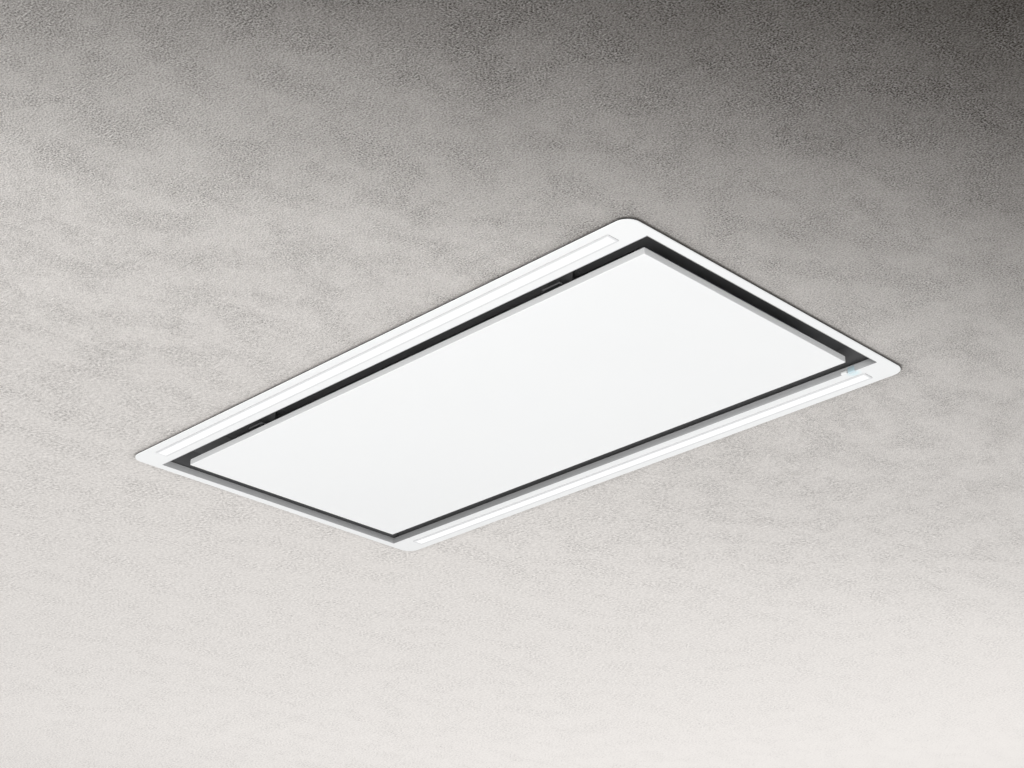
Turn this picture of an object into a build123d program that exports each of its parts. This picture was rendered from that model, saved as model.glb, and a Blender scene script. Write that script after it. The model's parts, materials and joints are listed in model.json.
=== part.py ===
"""Ceiling range hood with edge suction, built flush into a ceiling cut-out.

Millimetres, +Z up. The origin is the centre of the cut-out, on the ceiling's underside.
X runs along the hood's length, and the cover panel swings down from its +Y side.
Each sub-part is its own solid, or group of solids, in its own file in parts/.
"""

from build123d import *
from math import cos, pi, radians, sin, sqrt
import os

# Driving dimensions: what shows below the ceiling
HOOD_L = 1000.0
HOOD_W = 570.0
CORNER_R = 20.0
OPEN_L = 970.0
OPEN_W = 470.0
GASKET_T = 2.0
GASKET_INSET = 1.0
GASKET_BORE_GAP = 2.0
FRAME_T = 1.2
RETURN_H = 9.3
RETURN_LIP = 9.0
CLIP_X = 469.0
CLIP_W = 22.0
CLIP_FOOT = 20.0
CLIP_H = 24.0
PANEL_L = 912.0
PANEL_W = 412.0
PANEL_H = 9.6
PANEL_T = 1.2
PANEL_DROP = 0.5
PANEL_LIP = 14.0
PANEL_BEND_R = 1.0
FACE_Z = -(GASKET_T + FRAME_T)
PANEL_Z = FACE_Z - PANEL_DROP

# Lights
LIGHT_L = 910.0
LIGHT_W = 20.0
LIGHT_Y = 260.75
LIGHT_PROUD = 1.0
LIGHT_GAP = 0.5
LIGHT_END_R = 2.0
LIGHT_SHORT = 1.2
CHANNEL_W = 25.0
CHANNEL_H = 11.0
CHANNEL_T = 1.2
SHOULDER_T = 1.2
SHOULDER_GAP = 0.2
CHIP_PITCH = 18.0
CHIP = 3.0
CHIP_T = 0.8
BOARD_W = 16.0
BOARD_T = 1.6
DRIVER_X = (-482.0, -434.0)
DRIVER_HALF = 95.0
DRIVER_H = 30.0
DRIVER_FOOT = 15.0
DRIVER_FOOT_INSET = 6.0
DRIVER_FOOT_T = 2.0

# Sensor window in the return frame, near the +X end of the hinge side
RECEIVER_X = 433.0
RECEIVER_W = 9.0
RECEIVER_H = 4.2
RECEIVER_PROUD = 2.0
STATUS_X = 444.5
STATUS_W = 11.0
STATUS_H = 8.0
STATUS_FOOT = 5.0
SENSOR_GAP = 0.2
HOUSING_WALL = 1.2
HOUSING_DEPTH = 9.5

# Casing above the ceiling
CASE_L = 980.0
CASE_W = 550.0
CASE_TOP = 300.0
CASE_T = 1.0
CASE_FOOT_Z = -GASKET_T
CASE_FLANGE = 12.0
FLANGE_LOW = 60.0
SWAGE_DEPTH = 3.0
SWAGE_W = 20.0
SWAGE_TAPER = 35.0
TOP_SWAGES_X = (-300.0, -180.0, 180.0, 300.0)
TOP_SWAGE_L = 400.0
SIDE_SWAGES_X = (-310.0, 0.0, 310.0)
SIDE_SWAGE_L = 250.0
END_SWAGE_L = 420.0
SWAGES_Z = (95.0, 150.0)
SIDE_SWAGE_TOP_Z = 235.0

# Air chamber: skirt and filter deck
SKIRT_X = 486.8
SKIRT_Y = 246.5
SKIRT_T = 1.0
DECK_Z = 44.0
DECK_T = 1.0
DECK_FLANGE = 14.0
DECK_GAP = 0.3
DEFLECTOR_LOW = 36.5
DEFLECTOR_HALF = 246.0
DEFLECTOR_IN_X = 428.0
DEFLECTOR_FOOT = 10.0
DEFLECTOR_T = 1.0

# Grease filters
FILTER_L = 400.0
FILTER_W = 320.0
FILTER_X = 213.0
FILTER_Y = 4.0
FILTER_Z = 36.0
FILTER_H = 12.0
FILTER_RAIL = 12.0
FILTER_WALL = 1.0
FILTER_GAP = 2.0
PLEAT_PITCH = 16.0
PLEAT_T = 1.0
TAB_REACH = 8.0
TAB_W = 30.0
TAB_X = 120.0
TONGUE_Z = DECK_Z + DECK_T + 0.1
TONGUE_T = 1.5
TONGUE_PLAY = 0.3
TONGUE_W = 24.0
CUP_L = 76.0
CUP_W = 30.0
CUP_WALL = 2.0
SLIDER_L = 60.0
SLIDER_W = 14.0

# Panel hinges and catches
HINGE_X = 340.0
HINGE_Y = 190.0
HINGE_Z = 20.0
HINGE_PIN_R = 3.0
HINGE_CLEARANCE = 0.05
HINGE_EYE_R = 7.0
ARM_W = 18.0
ARM_WALL = 2.0
ARM_FOOT_Y = (-44.0, -2.0)
ARM_FOOT_HALF = 20.0
ARM_TIP_H = 6.0
EAR_T = 2.0
EAR_GAP = 1.0
CLEVIS_HALF_X = 26.0
CLEVIS_HALF_Y = 16.0
PIN_HEAD = 1.5
CATCH_X = 300.0
CATCH_Y = 198.0
CATCH_AIR = 0.4
CATCH_T = 1.5
CATCH_W = 30.0
CATCH_DROP = 18.0
CATCH_FOOT = 16.0
MAGNET_L = 28.0
MAGNET_W = 12.0
MAGNET_H = 6.0
STIFFENER_X = 150.0
STIFFENER_HALF = 12.0
STIFFENER_FOOT = 10.0
STIFFENER_H = 7.0
STIFFENER_T = 1.0

# Blower: a double inlet wheel in a scroll that blows upwards
WHEEL_R = 80.0
BLADE_IN_R = 66.2
BLADE_T = 0.8
BLADE_COUNT = 40
BLADE_LEAN = -4.0
BLADE_BULGE = 3.5
WHEEL_HALF = 66.5
RING_IN_R = 65.2
RING_T = 1.5
HUB_R = 10.0
SHAFT_R = 4.0
BUSH_CLEARANCE = 0.05
SCROLL_R = 93.0
SCROLL_STEP = 12.0
SCROLL_HALF = 75.0
SCROLL_T = 1.2
TONGUE_ANGLE = 78.0
TONGUE_R = 6.0
AXIS_Z = 175.0
BELL_R = 8.0
BELL_THROAT = 65.0
MOTOR_R = 44.0
MOTOR_FRONT = -14.0
BUSH_R = 7.0
BUSH_L = 8.0
GROMMET_T = 4.0
SPIDER_T = 2.0
SPIDER_R = 90.0
SPIDER_ARM_W = 16.0
SPIDER_BORE_R = 9.0
SPIDER_HOLE_R = 2.5
SPIDER_TURNS = (90, 210, 330)
GROMMET_R = 7.0
DISC_T = 2.0
HUB_HALF = 10.0

# Outlet: duct collar with two non-return flaps
COLLAR_R = 74.5
COLLAR_T = 2.0
COLLAR_H = 60.0
COLLAR_FLANGE_R = 95.0
COLLAR_FLANGE_T = 3.0
INSERT_R = COLLAR_R - COLLAR_T - 0.1
INSERT_T = 1.4
INSERT_H = 12.0
SEAT_W = 4.0
SEAT_T = 3.0
SEAT_AIR = 0.4
FLAP_R = 70.2
FLAP_T = 1.2
FLAP_ROD_R = 1.5
FLAP_ROD_CLEARANCE = 0.06
FLAP_Y = 4.5
FLAP_Z = 311.0

# Controls and other parts on the deck
BOX_T = 1.2
BOX_X = 438.0
BOX_Y = (-120.0, 120.0)
BOX_Z = (196.5, 296.5)
GLAND_X = 464.0
GLAND_Y = 70.0
GLAND_R = 10.0
GLAND_BORE_R = 5.0
GLAND_PLATE_T = 1.2
GLAND_PLATE_HALF = 26.0
CAPACITOR_AT = (-110.0, -190.0)
CAPACITOR_R = 16.0
CAPACITOR_H = 70.0
CLIP_BAND_T = 1.5
CLIP_BAND_H = 14.0
TERMINAL_W = 18.0
TERMINAL_L = 60.0
TERMINAL_H = 22.0
TERMINALS = 5
CIRCUIT_L = 130.0
CIRCUIT_H = 80.0
CIRCUIT_T = 1.6
CIRCUIT_STAND = 6.0
TRANSFORMER = (26.0, 36.0)
RELAY = (16.0, 20.0, 28.0)
CAN_R = 8.0
CAN_H = 18.0

# Hanger rails
RAIL_X = 380.0
RAIL_L = 530.0
RAIL_T = 2.0
RAIL_H = 20.0
RAIL_TOP_W = 40.0
RAIL_FOOT = 15.0
ROD_Y = 235.0
ROD_SLOT_L = 25.0
ROD_SLOT_W = 9.0

# Worked out from the above
CASE_X = CASE_L / 2
CASE_Y = CASE_W / 2
PANEL_TOP = PANEL_Z + PANEL_H
PANEL_IN_Z = PANEL_Z + PANEL_T
SCROLL_LEFT = SCROLL_STEP / 2 + SCROLL_R + 2 * SCROLL_STEP
SCROLL_RIGHT = SCROLL_STEP / 2 + SCROLL_R * cos(radians(TONGUE_ANGLE))
AXIS_Y = (SCROLL_LEFT - SCROLL_RIGHT) / 2
SIDE_X = SCROLL_HALF + SCROLL_T
SPIDER_X = SIDE_X + GROMMET_T
NECK_TOP = CASE_TOP - CASE_T


def block(x, y, z):
    """A block between the two values of x, of y and of z, given in either order."""
    sizes = [abs(high - low) for low, high in (x, y, z)]
    centre = [(low + high) / 2 for low, high in (x, y, z)]
    return Pos(*centre) * Box(*sizes)


def slab(sketch, low, high):
    """A flat outline raised from one height to another."""
    return extrude(Pos(0, 0, low) * sketch, amount=high - low)


def rod(centre, radius, half, direction):
    """A round bar about a point, along the axis named."""
    turn = {"x": Rot(0, 90, 0), "y": Rot(90, 0, 0), "z": Rot(0, 0, 0)}[direction]
    return Pos(*centre) * turn * Cylinder(radius, 2 * half)


def save(node, *pieces):
    """Write one sub-part's solids to its own file."""
    solids = [solid for piece in pieces for solid in piece.solids()]
    export_step(solids[0] if len(solids) == 1 else Compound(solids), f"parts/{node}.step")


# ---- trim, seal and lights ----


def ceiling_gasket():
    """Foam ring between the frame and the ceiling."""
    outline = RectangleRounded(
        HOOD_L - 2 * GASKET_INSET, HOOD_W - 2 * GASKET_INSET, CORNER_R - GASKET_INSET
    )
    bore = Rectangle(CASE_L + 2 * GASKET_BORE_GAP, CASE_W + 2 * GASKET_BORE_GAP)
    return slab(outline - bore, -GASKET_T, 0)


def trim_frame():
    """Flat frame round the opening, with two light slots and a notch for the status light."""
    opening = Rectangle(OPEN_L + 2 * FRAME_T, OPEN_W + 2 * FRAME_T)
    outline = RectangleRounded(HOOD_L, HOOD_W, CORNER_R) - opening
    slot = RectangleRounded(
        LIGHT_L + 2 * LIGHT_GAP, LIGHT_W + 2 * LIGHT_GAP, LIGHT_END_R + LIGHT_GAP
    )
    for side in (-1, 1):
        outline -= Pos(0, side * LIGHT_Y) * slot
    frame = slab(outline, FACE_Z, FACE_Z + FRAME_T)
    half = STATUS_W / 2 + SENSOR_GAP
    edge = OPEN_W / 2 + FRAME_T
    return frame - block(
        (STATUS_X - half, STATUS_X + half),
        (edge, edge + STATUS_FOOT + SENSOR_GAP),
        (FACE_Z, FACE_Z + FRAME_T),
    )


def return_frame():
    """Four strips that line the opening: the long ones are angles whose lips lie on the trim."""
    x = OPEN_L / 2 + FRAME_T
    y = OPEN_W / 2 + FRAME_T
    height = (FACE_Z, FACE_Z + RETURN_H)
    lip = (CASE_FOOT_Z, CASE_FOOT_Z + FRAME_T)
    for side in (-1, 1):
        yield block((side * OPEN_L / 2, side * x), (-OPEN_W / 2, OPEN_W / 2), height)
    for side in (-1, 1):
        strip = block((-x, x), (side * OPEN_W / 2, side * y), height)
        strip += block((-x, x), (side * y, side * (y + RETURN_LIP)), lip)
        if side > 0:
            for centre, width, high in (
                (STATUS_X, STATUS_W, max(RECEIVER_H, STATUS_H)),
                (RECEIVER_X, RECEIVER_W, RECEIVER_H),
            ):
                half = width / 2 + SENSOR_GAP
                top = FACE_Z + high + SENSOR_GAP
                strip -= block((centre - half, centre + half), (OPEN_W / 2, y), (FACE_Z, top))
            house = (housing_x()[0] - SENSOR_GAP, housing_x()[1] + SENSOR_GAP)
            strip -= block(house, (y, y + RETURN_LIP), lip)
        yield strip


def frame_clips():
    """Four angles that tie the frame's corners to the casing's long sides."""
    wall = CASE_Y - CASE_T
    section = Polyline(
        (wall, 0),
        (wall, CLIP_H),
        (wall - FRAME_T, CLIP_H),
        (wall - FRAME_T, FRAME_T),
        (wall - CLIP_FOOT, FRAME_T),
        (wall - CLIP_FOOT, 0),
        close=True,
    )
    angle = extrude(Plane.YZ * make_face(section), amount=CLIP_W / 2, both=True)
    for x in (-CLIP_X, CLIP_X):
        placed = Pos(x, 0, CASE_FOOT_Z) * angle
        yield placed
        yield mirror(placed, Plane.XZ)


def light_channel(side):
    """Aluminium channel, open downwards, that carries the light board."""
    top = CASE_FOOT_Z + CHANNEL_H
    half = LIGHT_L / 2 + 2
    centre = side * LIGHT_Y
    outer = block(
        (-half, half), (centre - CHANNEL_W / 2, centre + CHANNEL_W / 2), (CASE_FOOT_Z, top)
    )
    inner_w = CHANNEL_W / 2 - CHANNEL_T
    return outer - block(
        (-half, half), (centre - inner_w, centre + inner_w), (CASE_FOOT_Z, top - CHANNEL_T)
    )


def light_board(side):
    """Circuit strip with a row of light chips facing down."""
    top = CASE_FOOT_Z + CHANNEL_H - CHANNEL_T
    centre = side * LIGHT_Y
    half = LIGHT_L / 2 - 4
    board = block(
        (-half, half), (centre - BOARD_W / 2, centre + BOARD_W / 2), (top - BOARD_T, top)
    )
    count = int(2 * half // CHIP_PITCH)
    chip = Pos(0, centre, top - BOARD_T - CHIP_T / 2) * Box(CHIP, CHIP, CHIP_T)
    return board + GridLocations(CHIP_PITCH, 0, count, 1) * chip


def light_cover(side):
    """Opal strip with its face proud of the frame; the front one stops short at its left end."""
    shoulder_w = CHANNEL_W - 2 * CHANNEL_T - 2 * SHOULDER_GAP
    shoulder_l = LIGHT_L + 2 * LIGHT_GAP + 2
    shoulder = slab(Rectangle(shoulder_l, shoulder_w), CASE_FOOT_Z, CASE_FOOT_Z + SHOULDER_T)
    short = LIGHT_SHORT if side < 0 else 0
    outline = Pos(short / 2, 0) * RectangleRounded(LIGHT_L - short, LIGHT_W, LIGHT_END_R)
    face = slab(outline, FACE_Z - LIGHT_PROUD, CASE_FOOT_Z)
    return Pos(0, side * LIGHT_Y) * (shoulder + face)


def light_driver():
    """Power supply for both lights, on the deck's end ledge."""
    low = DECK_Z + DECK_T
    body = block(DRIVER_X, (-DRIVER_HALF, DRIVER_HALF), (low, low + DRIVER_H))
    body = fillet(body.edges().filter_by(Axis.Z), 3)
    foot_x = (DRIVER_X[0] + DRIVER_FOOT_INSET, DRIVER_X[1] - DRIVER_FOOT_INSET)
    foot_y = DRIVER_HALF + DRIVER_FOOT
    return body + block(foot_x, (-foot_y, foot_y), (low, low + DRIVER_FOOT_T))


def receiver_window():
    """Rounded lens of the remote receiver, standing out of the return frame's foot."""
    lens = block(
        (RECEIVER_X - RECEIVER_W / 2, RECEIVER_X + RECEIVER_W / 2),
        (OPEN_W / 2 - RECEIVER_PROUD, OPEN_W / 2 + FRAME_T),
        (FACE_Z, FACE_Z + RECEIVER_H),
    )
    front = lens.faces().sort_by(Axis.Y)[0]
    return fillet(front.edges(), 1.6)


def status_lens():
    """Light guide of the status light: up the return frame's wall, with a foot in the trim."""
    x = (STATUS_X - STATUS_W / 2, STATUS_X + STATUS_W / 2)
    back = OPEN_W / 2 + FRAME_T
    guide = block(x, (OPEN_W / 2, back), (FACE_Z, FACE_Z + STATUS_H))
    return guide + block(x, (back, back + STATUS_FOOT), (FACE_Z, FACE_Z + FRAME_T))


def housing_x():
    """The sensor housing's low and high x."""
    side = HOUSING_WALL + 2 * SENSOR_GAP
    return (RECEIVER_X - RECEIVER_W / 2 - side, STATUS_X + STATUS_W / 2 + side)


def sensor_housing():
    """Plastic box behind the sensor window, open towards it."""
    y = OPEN_W / 2 + FRAME_T
    x = housing_x()
    z = (CASE_FOOT_Z, CASE_FOOT_Z + HOUSING_DEPTH)
    shell = block(x, (y, y + HOUSING_DEPTH), z)
    return shell - block(
        (x[0] + HOUSING_WALL, x[1] - HOUSING_WALL),
        (y, y + HOUSING_DEPTH - HOUSING_WALL),
        (z[0] + HOUSING_WALL, z[1] - HOUSING_WALL),
    )


def sensor_board():
    """Board of the receiver and the status light, inside the sensor housing."""
    face = OPEN_W / 2 + FRAME_T + 4
    x = (RECEIVER_X - RECEIVER_W / 2, STATUS_X + STATUS_W / 2)
    board = block(x, (face, face + FRAME_T), (0, 5))
    diode = block((STATUS_X - 1.5, STATUS_X + 1.5), (face - 1.5, face), (1, 4))
    detector = block((RECEIVER_X - 2.5, RECEIVER_X + 2.5), (face - 2.5, face), (0.5, 4.5))
    return board + diode + detector


# ---- casing ----


def swage(length):
    """A long pressed bead with sloped walls: the boss inside the sheet, and its groove."""
    boss = extrude(SlotOverall(length, SWAGE_W), amount=CASE_T + SWAGE_DEPTH, taper=SWAGE_TAPER)
    inner = SlotOverall(length - 2 * CASE_T, SWAGE_W - 2 * CASE_T)
    return boss, extrude(inner, amount=SWAGE_DEPTH, taper=SWAGE_TAPER)


def pressed(sheet, length, spots):
    """A sheet with beads pressed into it at each spot."""
    boss, groove = swage(length)
    for spot in spots:
        sheet = sheet + spot * boss - spot * groove
    return sheet


def casing_top():
    """Top sheet with the duct hole, a notch for the cable plate and four beads."""
    z = (CASE_TOP - CASE_T, CASE_TOP)
    sheet = block((-CASE_X, CASE_X), (-CASE_Y, CASE_Y), z)
    turned_down = Rot(180, 0, 0) * Rot(0, 0, 90)
    spots = [Pos(x, 0, CASE_TOP) * turned_down for x in TOP_SWAGES_X]
    sheet = pressed(sheet, TOP_SWAGE_L, spots)
    sheet -= rod((0, 0, CASE_TOP), COLLAR_R - COLLAR_T, 5, "z")
    notch = GLAND_PLATE_HALF - 6
    return sheet - block((GLAND_X - notch, CASE_X), (GLAND_Y - notch, GLAND_Y + notch), z)


def casing_side(side):
    """Long side sheet with nine beads and a flange turned in under the top sheet."""
    y = side * CASE_Y
    top = CASE_TOP - CASE_T
    sheet = block((-CASE_X, CASE_X), (y, y - side * CASE_T), (CASE_FOOT_Z, top))
    inner = CASE_X - CASE_T
    sheet += block((-inner, inner), (y, y - side * CASE_FLANGE), (top - CASE_T, top))
    plane = Plane(origin=(0, y, 0), x_dir=(1, 0, 0), z_dir=(0, -side, 0))
    heights = (*SWAGES_Z, SIDE_SWAGE_TOP_Z)
    spots = [plane * Pos(x, side * z) for x in SIDE_SWAGES_X for z in heights]
    return pressed(sheet, SIDE_SWAGE_L, spots)


def casing_end(side):
    """End plate with flanges that lie inside the sides and the top, and two beads."""
    x = side * CASE_X
    y = CASE_Y - CASE_T
    top = CASE_TOP - CASE_T
    plate = block((x, x - side * CASE_T), (-y, y), (CASE_FOOT_Z, top))
    inward = (x, x - side * CASE_FLANGE)
    for low in (-y, y - CASE_T):
        plate += block(inward, (low, low + CASE_T), (FLANGE_LOW, top - 4))
    top_y = y - CASE_FLANGE - 2
    plate += block(inward, (-top_y, top_y), (top - CASE_T, top))
    plane = Plane(origin=(x, 0, 0), x_dir=(0, 1, 0), z_dir=(-side, 0, 0))
    return pressed(plate, END_SWAGE_L, [plane * Pos(0, -side * z) for z in SWAGES_Z])


def cable_plate():
    """Small plate over the top sheet's notch that holds the cable gland."""
    sheet = block(
        (GLAND_X - GLAND_PLATE_HALF, CASE_X - CASE_T),
        (GLAND_Y - GLAND_PLATE_HALF, GLAND_Y + GLAND_PLATE_HALF),
        (CASE_TOP, CASE_TOP + GLAND_PLATE_T),
    )
    sheet = fillet(sheet.edges().filter_by(Axis.Z), 4)
    return sheet - rod((GLAND_X, GLAND_Y, CASE_TOP), GLAND_R, 5, "z")


def hanger_rail(side):
    """Hat section across the top, slotted for threaded rods."""
    half = RAIL_TOP_W / 2
    foot = half + RAIL_FOOT
    z = CASE_TOP
    section = Polyline(
        (-foot, z),
        (-half + RAIL_T, z),
        (-half + RAIL_T, z + RAIL_H - RAIL_T),
        (half - RAIL_T, z + RAIL_H - RAIL_T),
        (half - RAIL_T, z),
        (foot, z),
        (foot, z + RAIL_T),
        (half, z + RAIL_T),
        (half, z + RAIL_H),
        (-half, z + RAIL_H),
        (-half, z + RAIL_T),
        (-foot, z + RAIL_T),
        close=True,
    )
    rail = extrude(Plane.XZ * make_face(section), amount=RAIL_L / 2, both=True)
    slot = SlotOverall(ROD_SLOT_L, ROD_SLOT_W)
    for y in (-ROD_Y, ROD_Y):
        rail -= slab(Pos(0, y) * slot, z + RAIL_H - RAIL_T, z + RAIL_H)
    return Pos(side * RAIL_X, 0, 0) * rail


# ---- air chamber ----


def chamber_skirt():
    """Black sheet round the air chamber, from the frame up to the deck."""
    inner = Rectangle(2 * SKIRT_X, 2 * SKIRT_Y)
    outer = Rectangle(2 * (SKIRT_X + SKIRT_T), 2 * (SKIRT_Y + SKIRT_T))
    return slab(outer - inner, CASE_FOOT_Z, DECK_Z)


def end_deflector(side):
    """Sloped black sheet between the end of the skirt and the deck, with a foot on the deck."""
    sheet = Polyline(
        (SKIRT_X, DEFLECTOR_LOW),
        (DEFLECTOR_IN_X, DECK_Z - DEFLECTOR_T),
        (DEFLECTOR_IN_X - DEFLECTOR_FOOT, DECK_Z - DEFLECTOR_T),
        (DEFLECTOR_IN_X - DEFLECTOR_FOOT, DECK_Z),
        (DEFLECTOR_IN_X, DECK_Z),
        (SKIRT_X, DEFLECTOR_LOW + DEFLECTOR_T),
        close=True,
    )
    guide = extrude(Plane.XZ * make_face(sheet), amount=DEFLECTOR_HALF, both=True)
    return guide if side > 0 else mirror(guide, Plane.YZ)


def filter_deck():
    """Partition with an opening for each filter and up-turned edges."""
    x = CASE_X - CASE_T - DECK_GAP
    y = CASE_Y - CASE_T - DECK_GAP
    top = DECK_Z + DECK_T
    deck = slab(Rectangle(2 * x, 2 * y), DECK_Z, top + DECK_FLANGE)
    deck -= slab(Rectangle(2 * (x - DECK_T), 2 * (y - DECK_T)), top, top + DECK_FLANGE)
    opening = RectangleRounded(FILTER_L + 2 * FILTER_GAP, FILTER_W + 2 * FILTER_GAP, 4)
    for side in (-1, 1):
        deck -= slab(Pos(side * FILTER_X, FILTER_Y) * opening, DECK_Z, top)
    return deck


def filter_frame(side):
    """Mitred channel round the mesh pad, with two tabs behind and a slot for the latch."""
    top = FILTER_Z + FILTER_H
    outline = RectangleRounded(FILTER_L, FILTER_W, 3)
    window = Rectangle(FILTER_L - 2 * FILTER_RAIL, FILTER_W - 2 * FILTER_RAIL)
    cavity = Rectangle(FILTER_L - 2 * FILTER_WALL, FILTER_W - 2 * FILTER_WALL)
    frame = slab(outline, FILTER_Z, top) - slab(window, FILTER_Z, top)
    frame -= slab(cavity, FILTER_Z + FILTER_WALL, top - FILTER_WALL)
    edge = FILTER_W / 2
    for x in (-TAB_X, TAB_X):
        frame += block(
            (x - TAB_W / 2, x + TAB_W / 2),
            (edge - FILTER_WALL, edge + TAB_REACH),
            (DECK_Z + DECK_T, DECK_Z + DECK_T + TONGUE_T),
        )
    half = TONGUE_W / 2 + TONGUE_PLAY
    frame -= block(
        (-half, half),
        (-edge, -edge + FILTER_WALL),
        (TONGUE_Z - TONGUE_PLAY, TONGUE_Z + TONGUE_T + TONGUE_PLAY),
    )
    half = CUP_L / 2
    frame -= block((-half, half), (-edge + FILTER_WALL, -edge + FILTER_RAIL), (FILTER_Z, top))
    return Pos(side * FILTER_X, FILTER_Y, 0) * frame


def mesh_pad(side):
    """Pleated wire pad, held in the frame's channel and notched round the latch cup."""
    low = FILTER_Z + FILTER_WALL
    high = FILTER_Z + FILTER_H - FILTER_WALL
    count = int((FILTER_L - 2 * FILTER_WALL) // PLEAT_PITCH)
    start = -count * PLEAT_PITCH / 2
    rise = high - low - PLEAT_T
    ridge = []
    for step in range(2 * count + 1):
        ridge.append((start + step * PLEAT_PITCH / 2, low + rise * (step % 2)))
    upper = [(x, z + PLEAT_T) for x, z in reversed(ridge)]
    pad = extrude(
        Plane.XZ * make_face(Polyline(*ridge, *upper, close=True)),
        amount=FILTER_W / 2 - FILTER_WALL,
        both=True,
    )
    edge = -FILTER_W / 2
    half = CUP_L / 2
    pad -= block((-half, half), (edge, edge + CUP_W + FILTER_WALL), (low, high))
    return Pos(side * FILTER_X, FILTER_Y, 0) * pad


def latch_cup(side):
    """Finger recess in the filter's edge: a cup open downwards with a slot for the tongue."""
    edge = -FILTER_W / 2 + FILTER_WALL
    top = FILTER_Z + FILTER_H
    half = CUP_L / 2
    cup = block((-half, half), (edge, edge + CUP_W), (FILTER_Z, top))
    cup -= block(
        (-half + CUP_WALL, half - CUP_WALL),
        (edge + CUP_WALL, edge + CUP_W - CUP_WALL),
        (FILTER_Z, top - FILTER_WALL),
    )
    half = TONGUE_W / 2 + TONGUE_PLAY
    cup -= block(
        (-half, half),
        (edge, edge + CUP_WALL),
        (TONGUE_Z - TONGUE_PLAY, TONGUE_Z + TONGUE_T + TONGUE_PLAY),
    )
    return Pos(side * FILTER_X, FILTER_Y, 0) * cup


def latch_slider(side):
    """Sliding finger plate with the tongue that hooks over the deck."""
    edge = -FILTER_W / 2 + FILTER_WALL + CUP_WALL
    y = edge + 0.5
    half = SLIDER_L / 2
    plate = block((-half, half), (y, y + SLIDER_W), (FILTER_Z + 4, TONGUE_Z + TONGUE_T))
    grip = block((-half, half), (y, y + 3), (FILTER_Z - 1, FILTER_Z + 4))
    grip = fillet(grip.edges().filter_by(Axis.X).sort_by(Axis.Z)[:2], 1)
    tongue_half = TONGUE_W / 2
    tongue = block(
        (-tongue_half, tongue_half),
        (-FILTER_W / 2 - TAB_REACH, y + 1),
        (TONGUE_Z, TONGUE_Z + TONGUE_T),
    )
    return Pos(side * FILTER_X, FILTER_Y, 0) * (plate + grip + tongue)


def latch_spring(side):
    """Bowed leaf spring between the slider and the cup's inner wall."""
    edge = -FILTER_W / 2 + FILTER_WALL + CUP_WALL
    near = edge + 0.5 + SLIDER_W
    far = edge + CUP_W - 2 * CUP_WALL
    half = 22.0
    thick = 0.4
    outer = ThreePointArc((-half, far), (0, near + 0.1), (half, far))
    bowed = half - thick
    inner = ThreePointArc((bowed, far), (0, near + 0.1 + thick), (-bowed, far))
    bow = make_face(
        [
            outer,
            Line(outer @ 1, inner @ 0),
            inner,
            Line(inner @ 1, outer @ 0),
        ]
    )
    return Pos(side * FILTER_X, FILTER_Y, 0) * slab(bow, FILTER_Z + 5, FILTER_Z + 9)


# ---- cover panel, its hinges and catches ----


def cover_panel():
    """Shallow folded pan with in-turned lips."""
    z = (PANEL_Z, PANEL_TOP)
    pan = block((-PANEL_L / 2, PANEL_L / 2), (-PANEL_W / 2, PANEL_W / 2), z)
    pan = fillet(pan.faces().sort_by(Axis.Z)[0].edges(), PANEL_BEND_R)
    x = PANEL_L / 2 - PANEL_T
    y = PANEL_W / 2 - PANEL_T
    pan -= block((-x, x), (-y, y), (PANEL_IN_Z, PANEL_TOP - PANEL_T))
    x = PANEL_L / 2 - PANEL_LIP
    y = PANEL_W / 2 - PANEL_LIP
    pan -= block((-x, x), (-y, y), (PANEL_TOP - PANEL_T, PANEL_TOP))
    return pan


def panel_stiffener(side):
    """Hat section spot-welded across the inside of the pan."""
    half = STIFFENER_HALF
    foot = half + STIFFENER_FOOT
    high = STIFFENER_H
    thick = STIFFENER_T
    section = Polyline(
        (-foot, 0),
        (-half + thick, 0),
        (-half + thick, high - thick),
        (half - thick, high - thick),
        (half - thick, 0),
        (foot, 0),
        (foot, thick),
        (half, thick),
        (half, high),
        (-half, high),
        (-half, thick),
        (-foot, thick),
        close=True,
    )
    length = PANEL_W - 2 * PANEL_LIP - 20
    hat = extrude(Plane.XZ * make_face(section), amount=length / 2, both=True)
    return Pos(side * STIFFENER_X, 0, PANEL_IN_Z) * hat


def hinge_arm(side):
    """Folded channel arm on the panel, with an eye in each web for the pin."""
    foot_y = (HINGE_Y + ARM_FOOT_Y[0], HINGE_Y + ARM_FOOT_Y[1])
    eye = make_face(
        Polyline(
            (foot_y[0], PANEL_IN_Z),
            (foot_y[1], PANEL_IN_Z),
            (HINGE_Y + HINGE_EYE_R, HINGE_Z),
            (HINGE_Y, HINGE_Z + HINGE_EYE_R),
            (foot_y[0], PANEL_IN_Z + ARM_TIP_H),
            close=True,
        )
    )
    eye += Pos(HINGE_Y, HINGE_Z) * Circle(HINGE_EYE_R)
    arm = extrude(Plane.YZ * eye, amount=ARM_W / 2, both=True)
    inside = ARM_W / 2 - ARM_WALL
    arm -= block(
        (-inside, inside),
        (foot_y[0] - 1, HINGE_Y + HINGE_EYE_R),
        (PANEL_IN_Z + ARM_WALL, HINGE_Z + HINGE_EYE_R),
    )
    foot_x = (-ARM_FOOT_HALF, ARM_FOOT_HALF)
    arm += block(foot_x, foot_y, (PANEL_IN_Z, PANEL_IN_Z + ARM_WALL))
    arm -= rod((0, HINGE_Y, HINGE_Z), HINGE_PIN_R + HINGE_CLEARANCE, ARM_W, "x")
    return Pos(side * HINGE_X, 0, 0) * arm


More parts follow.
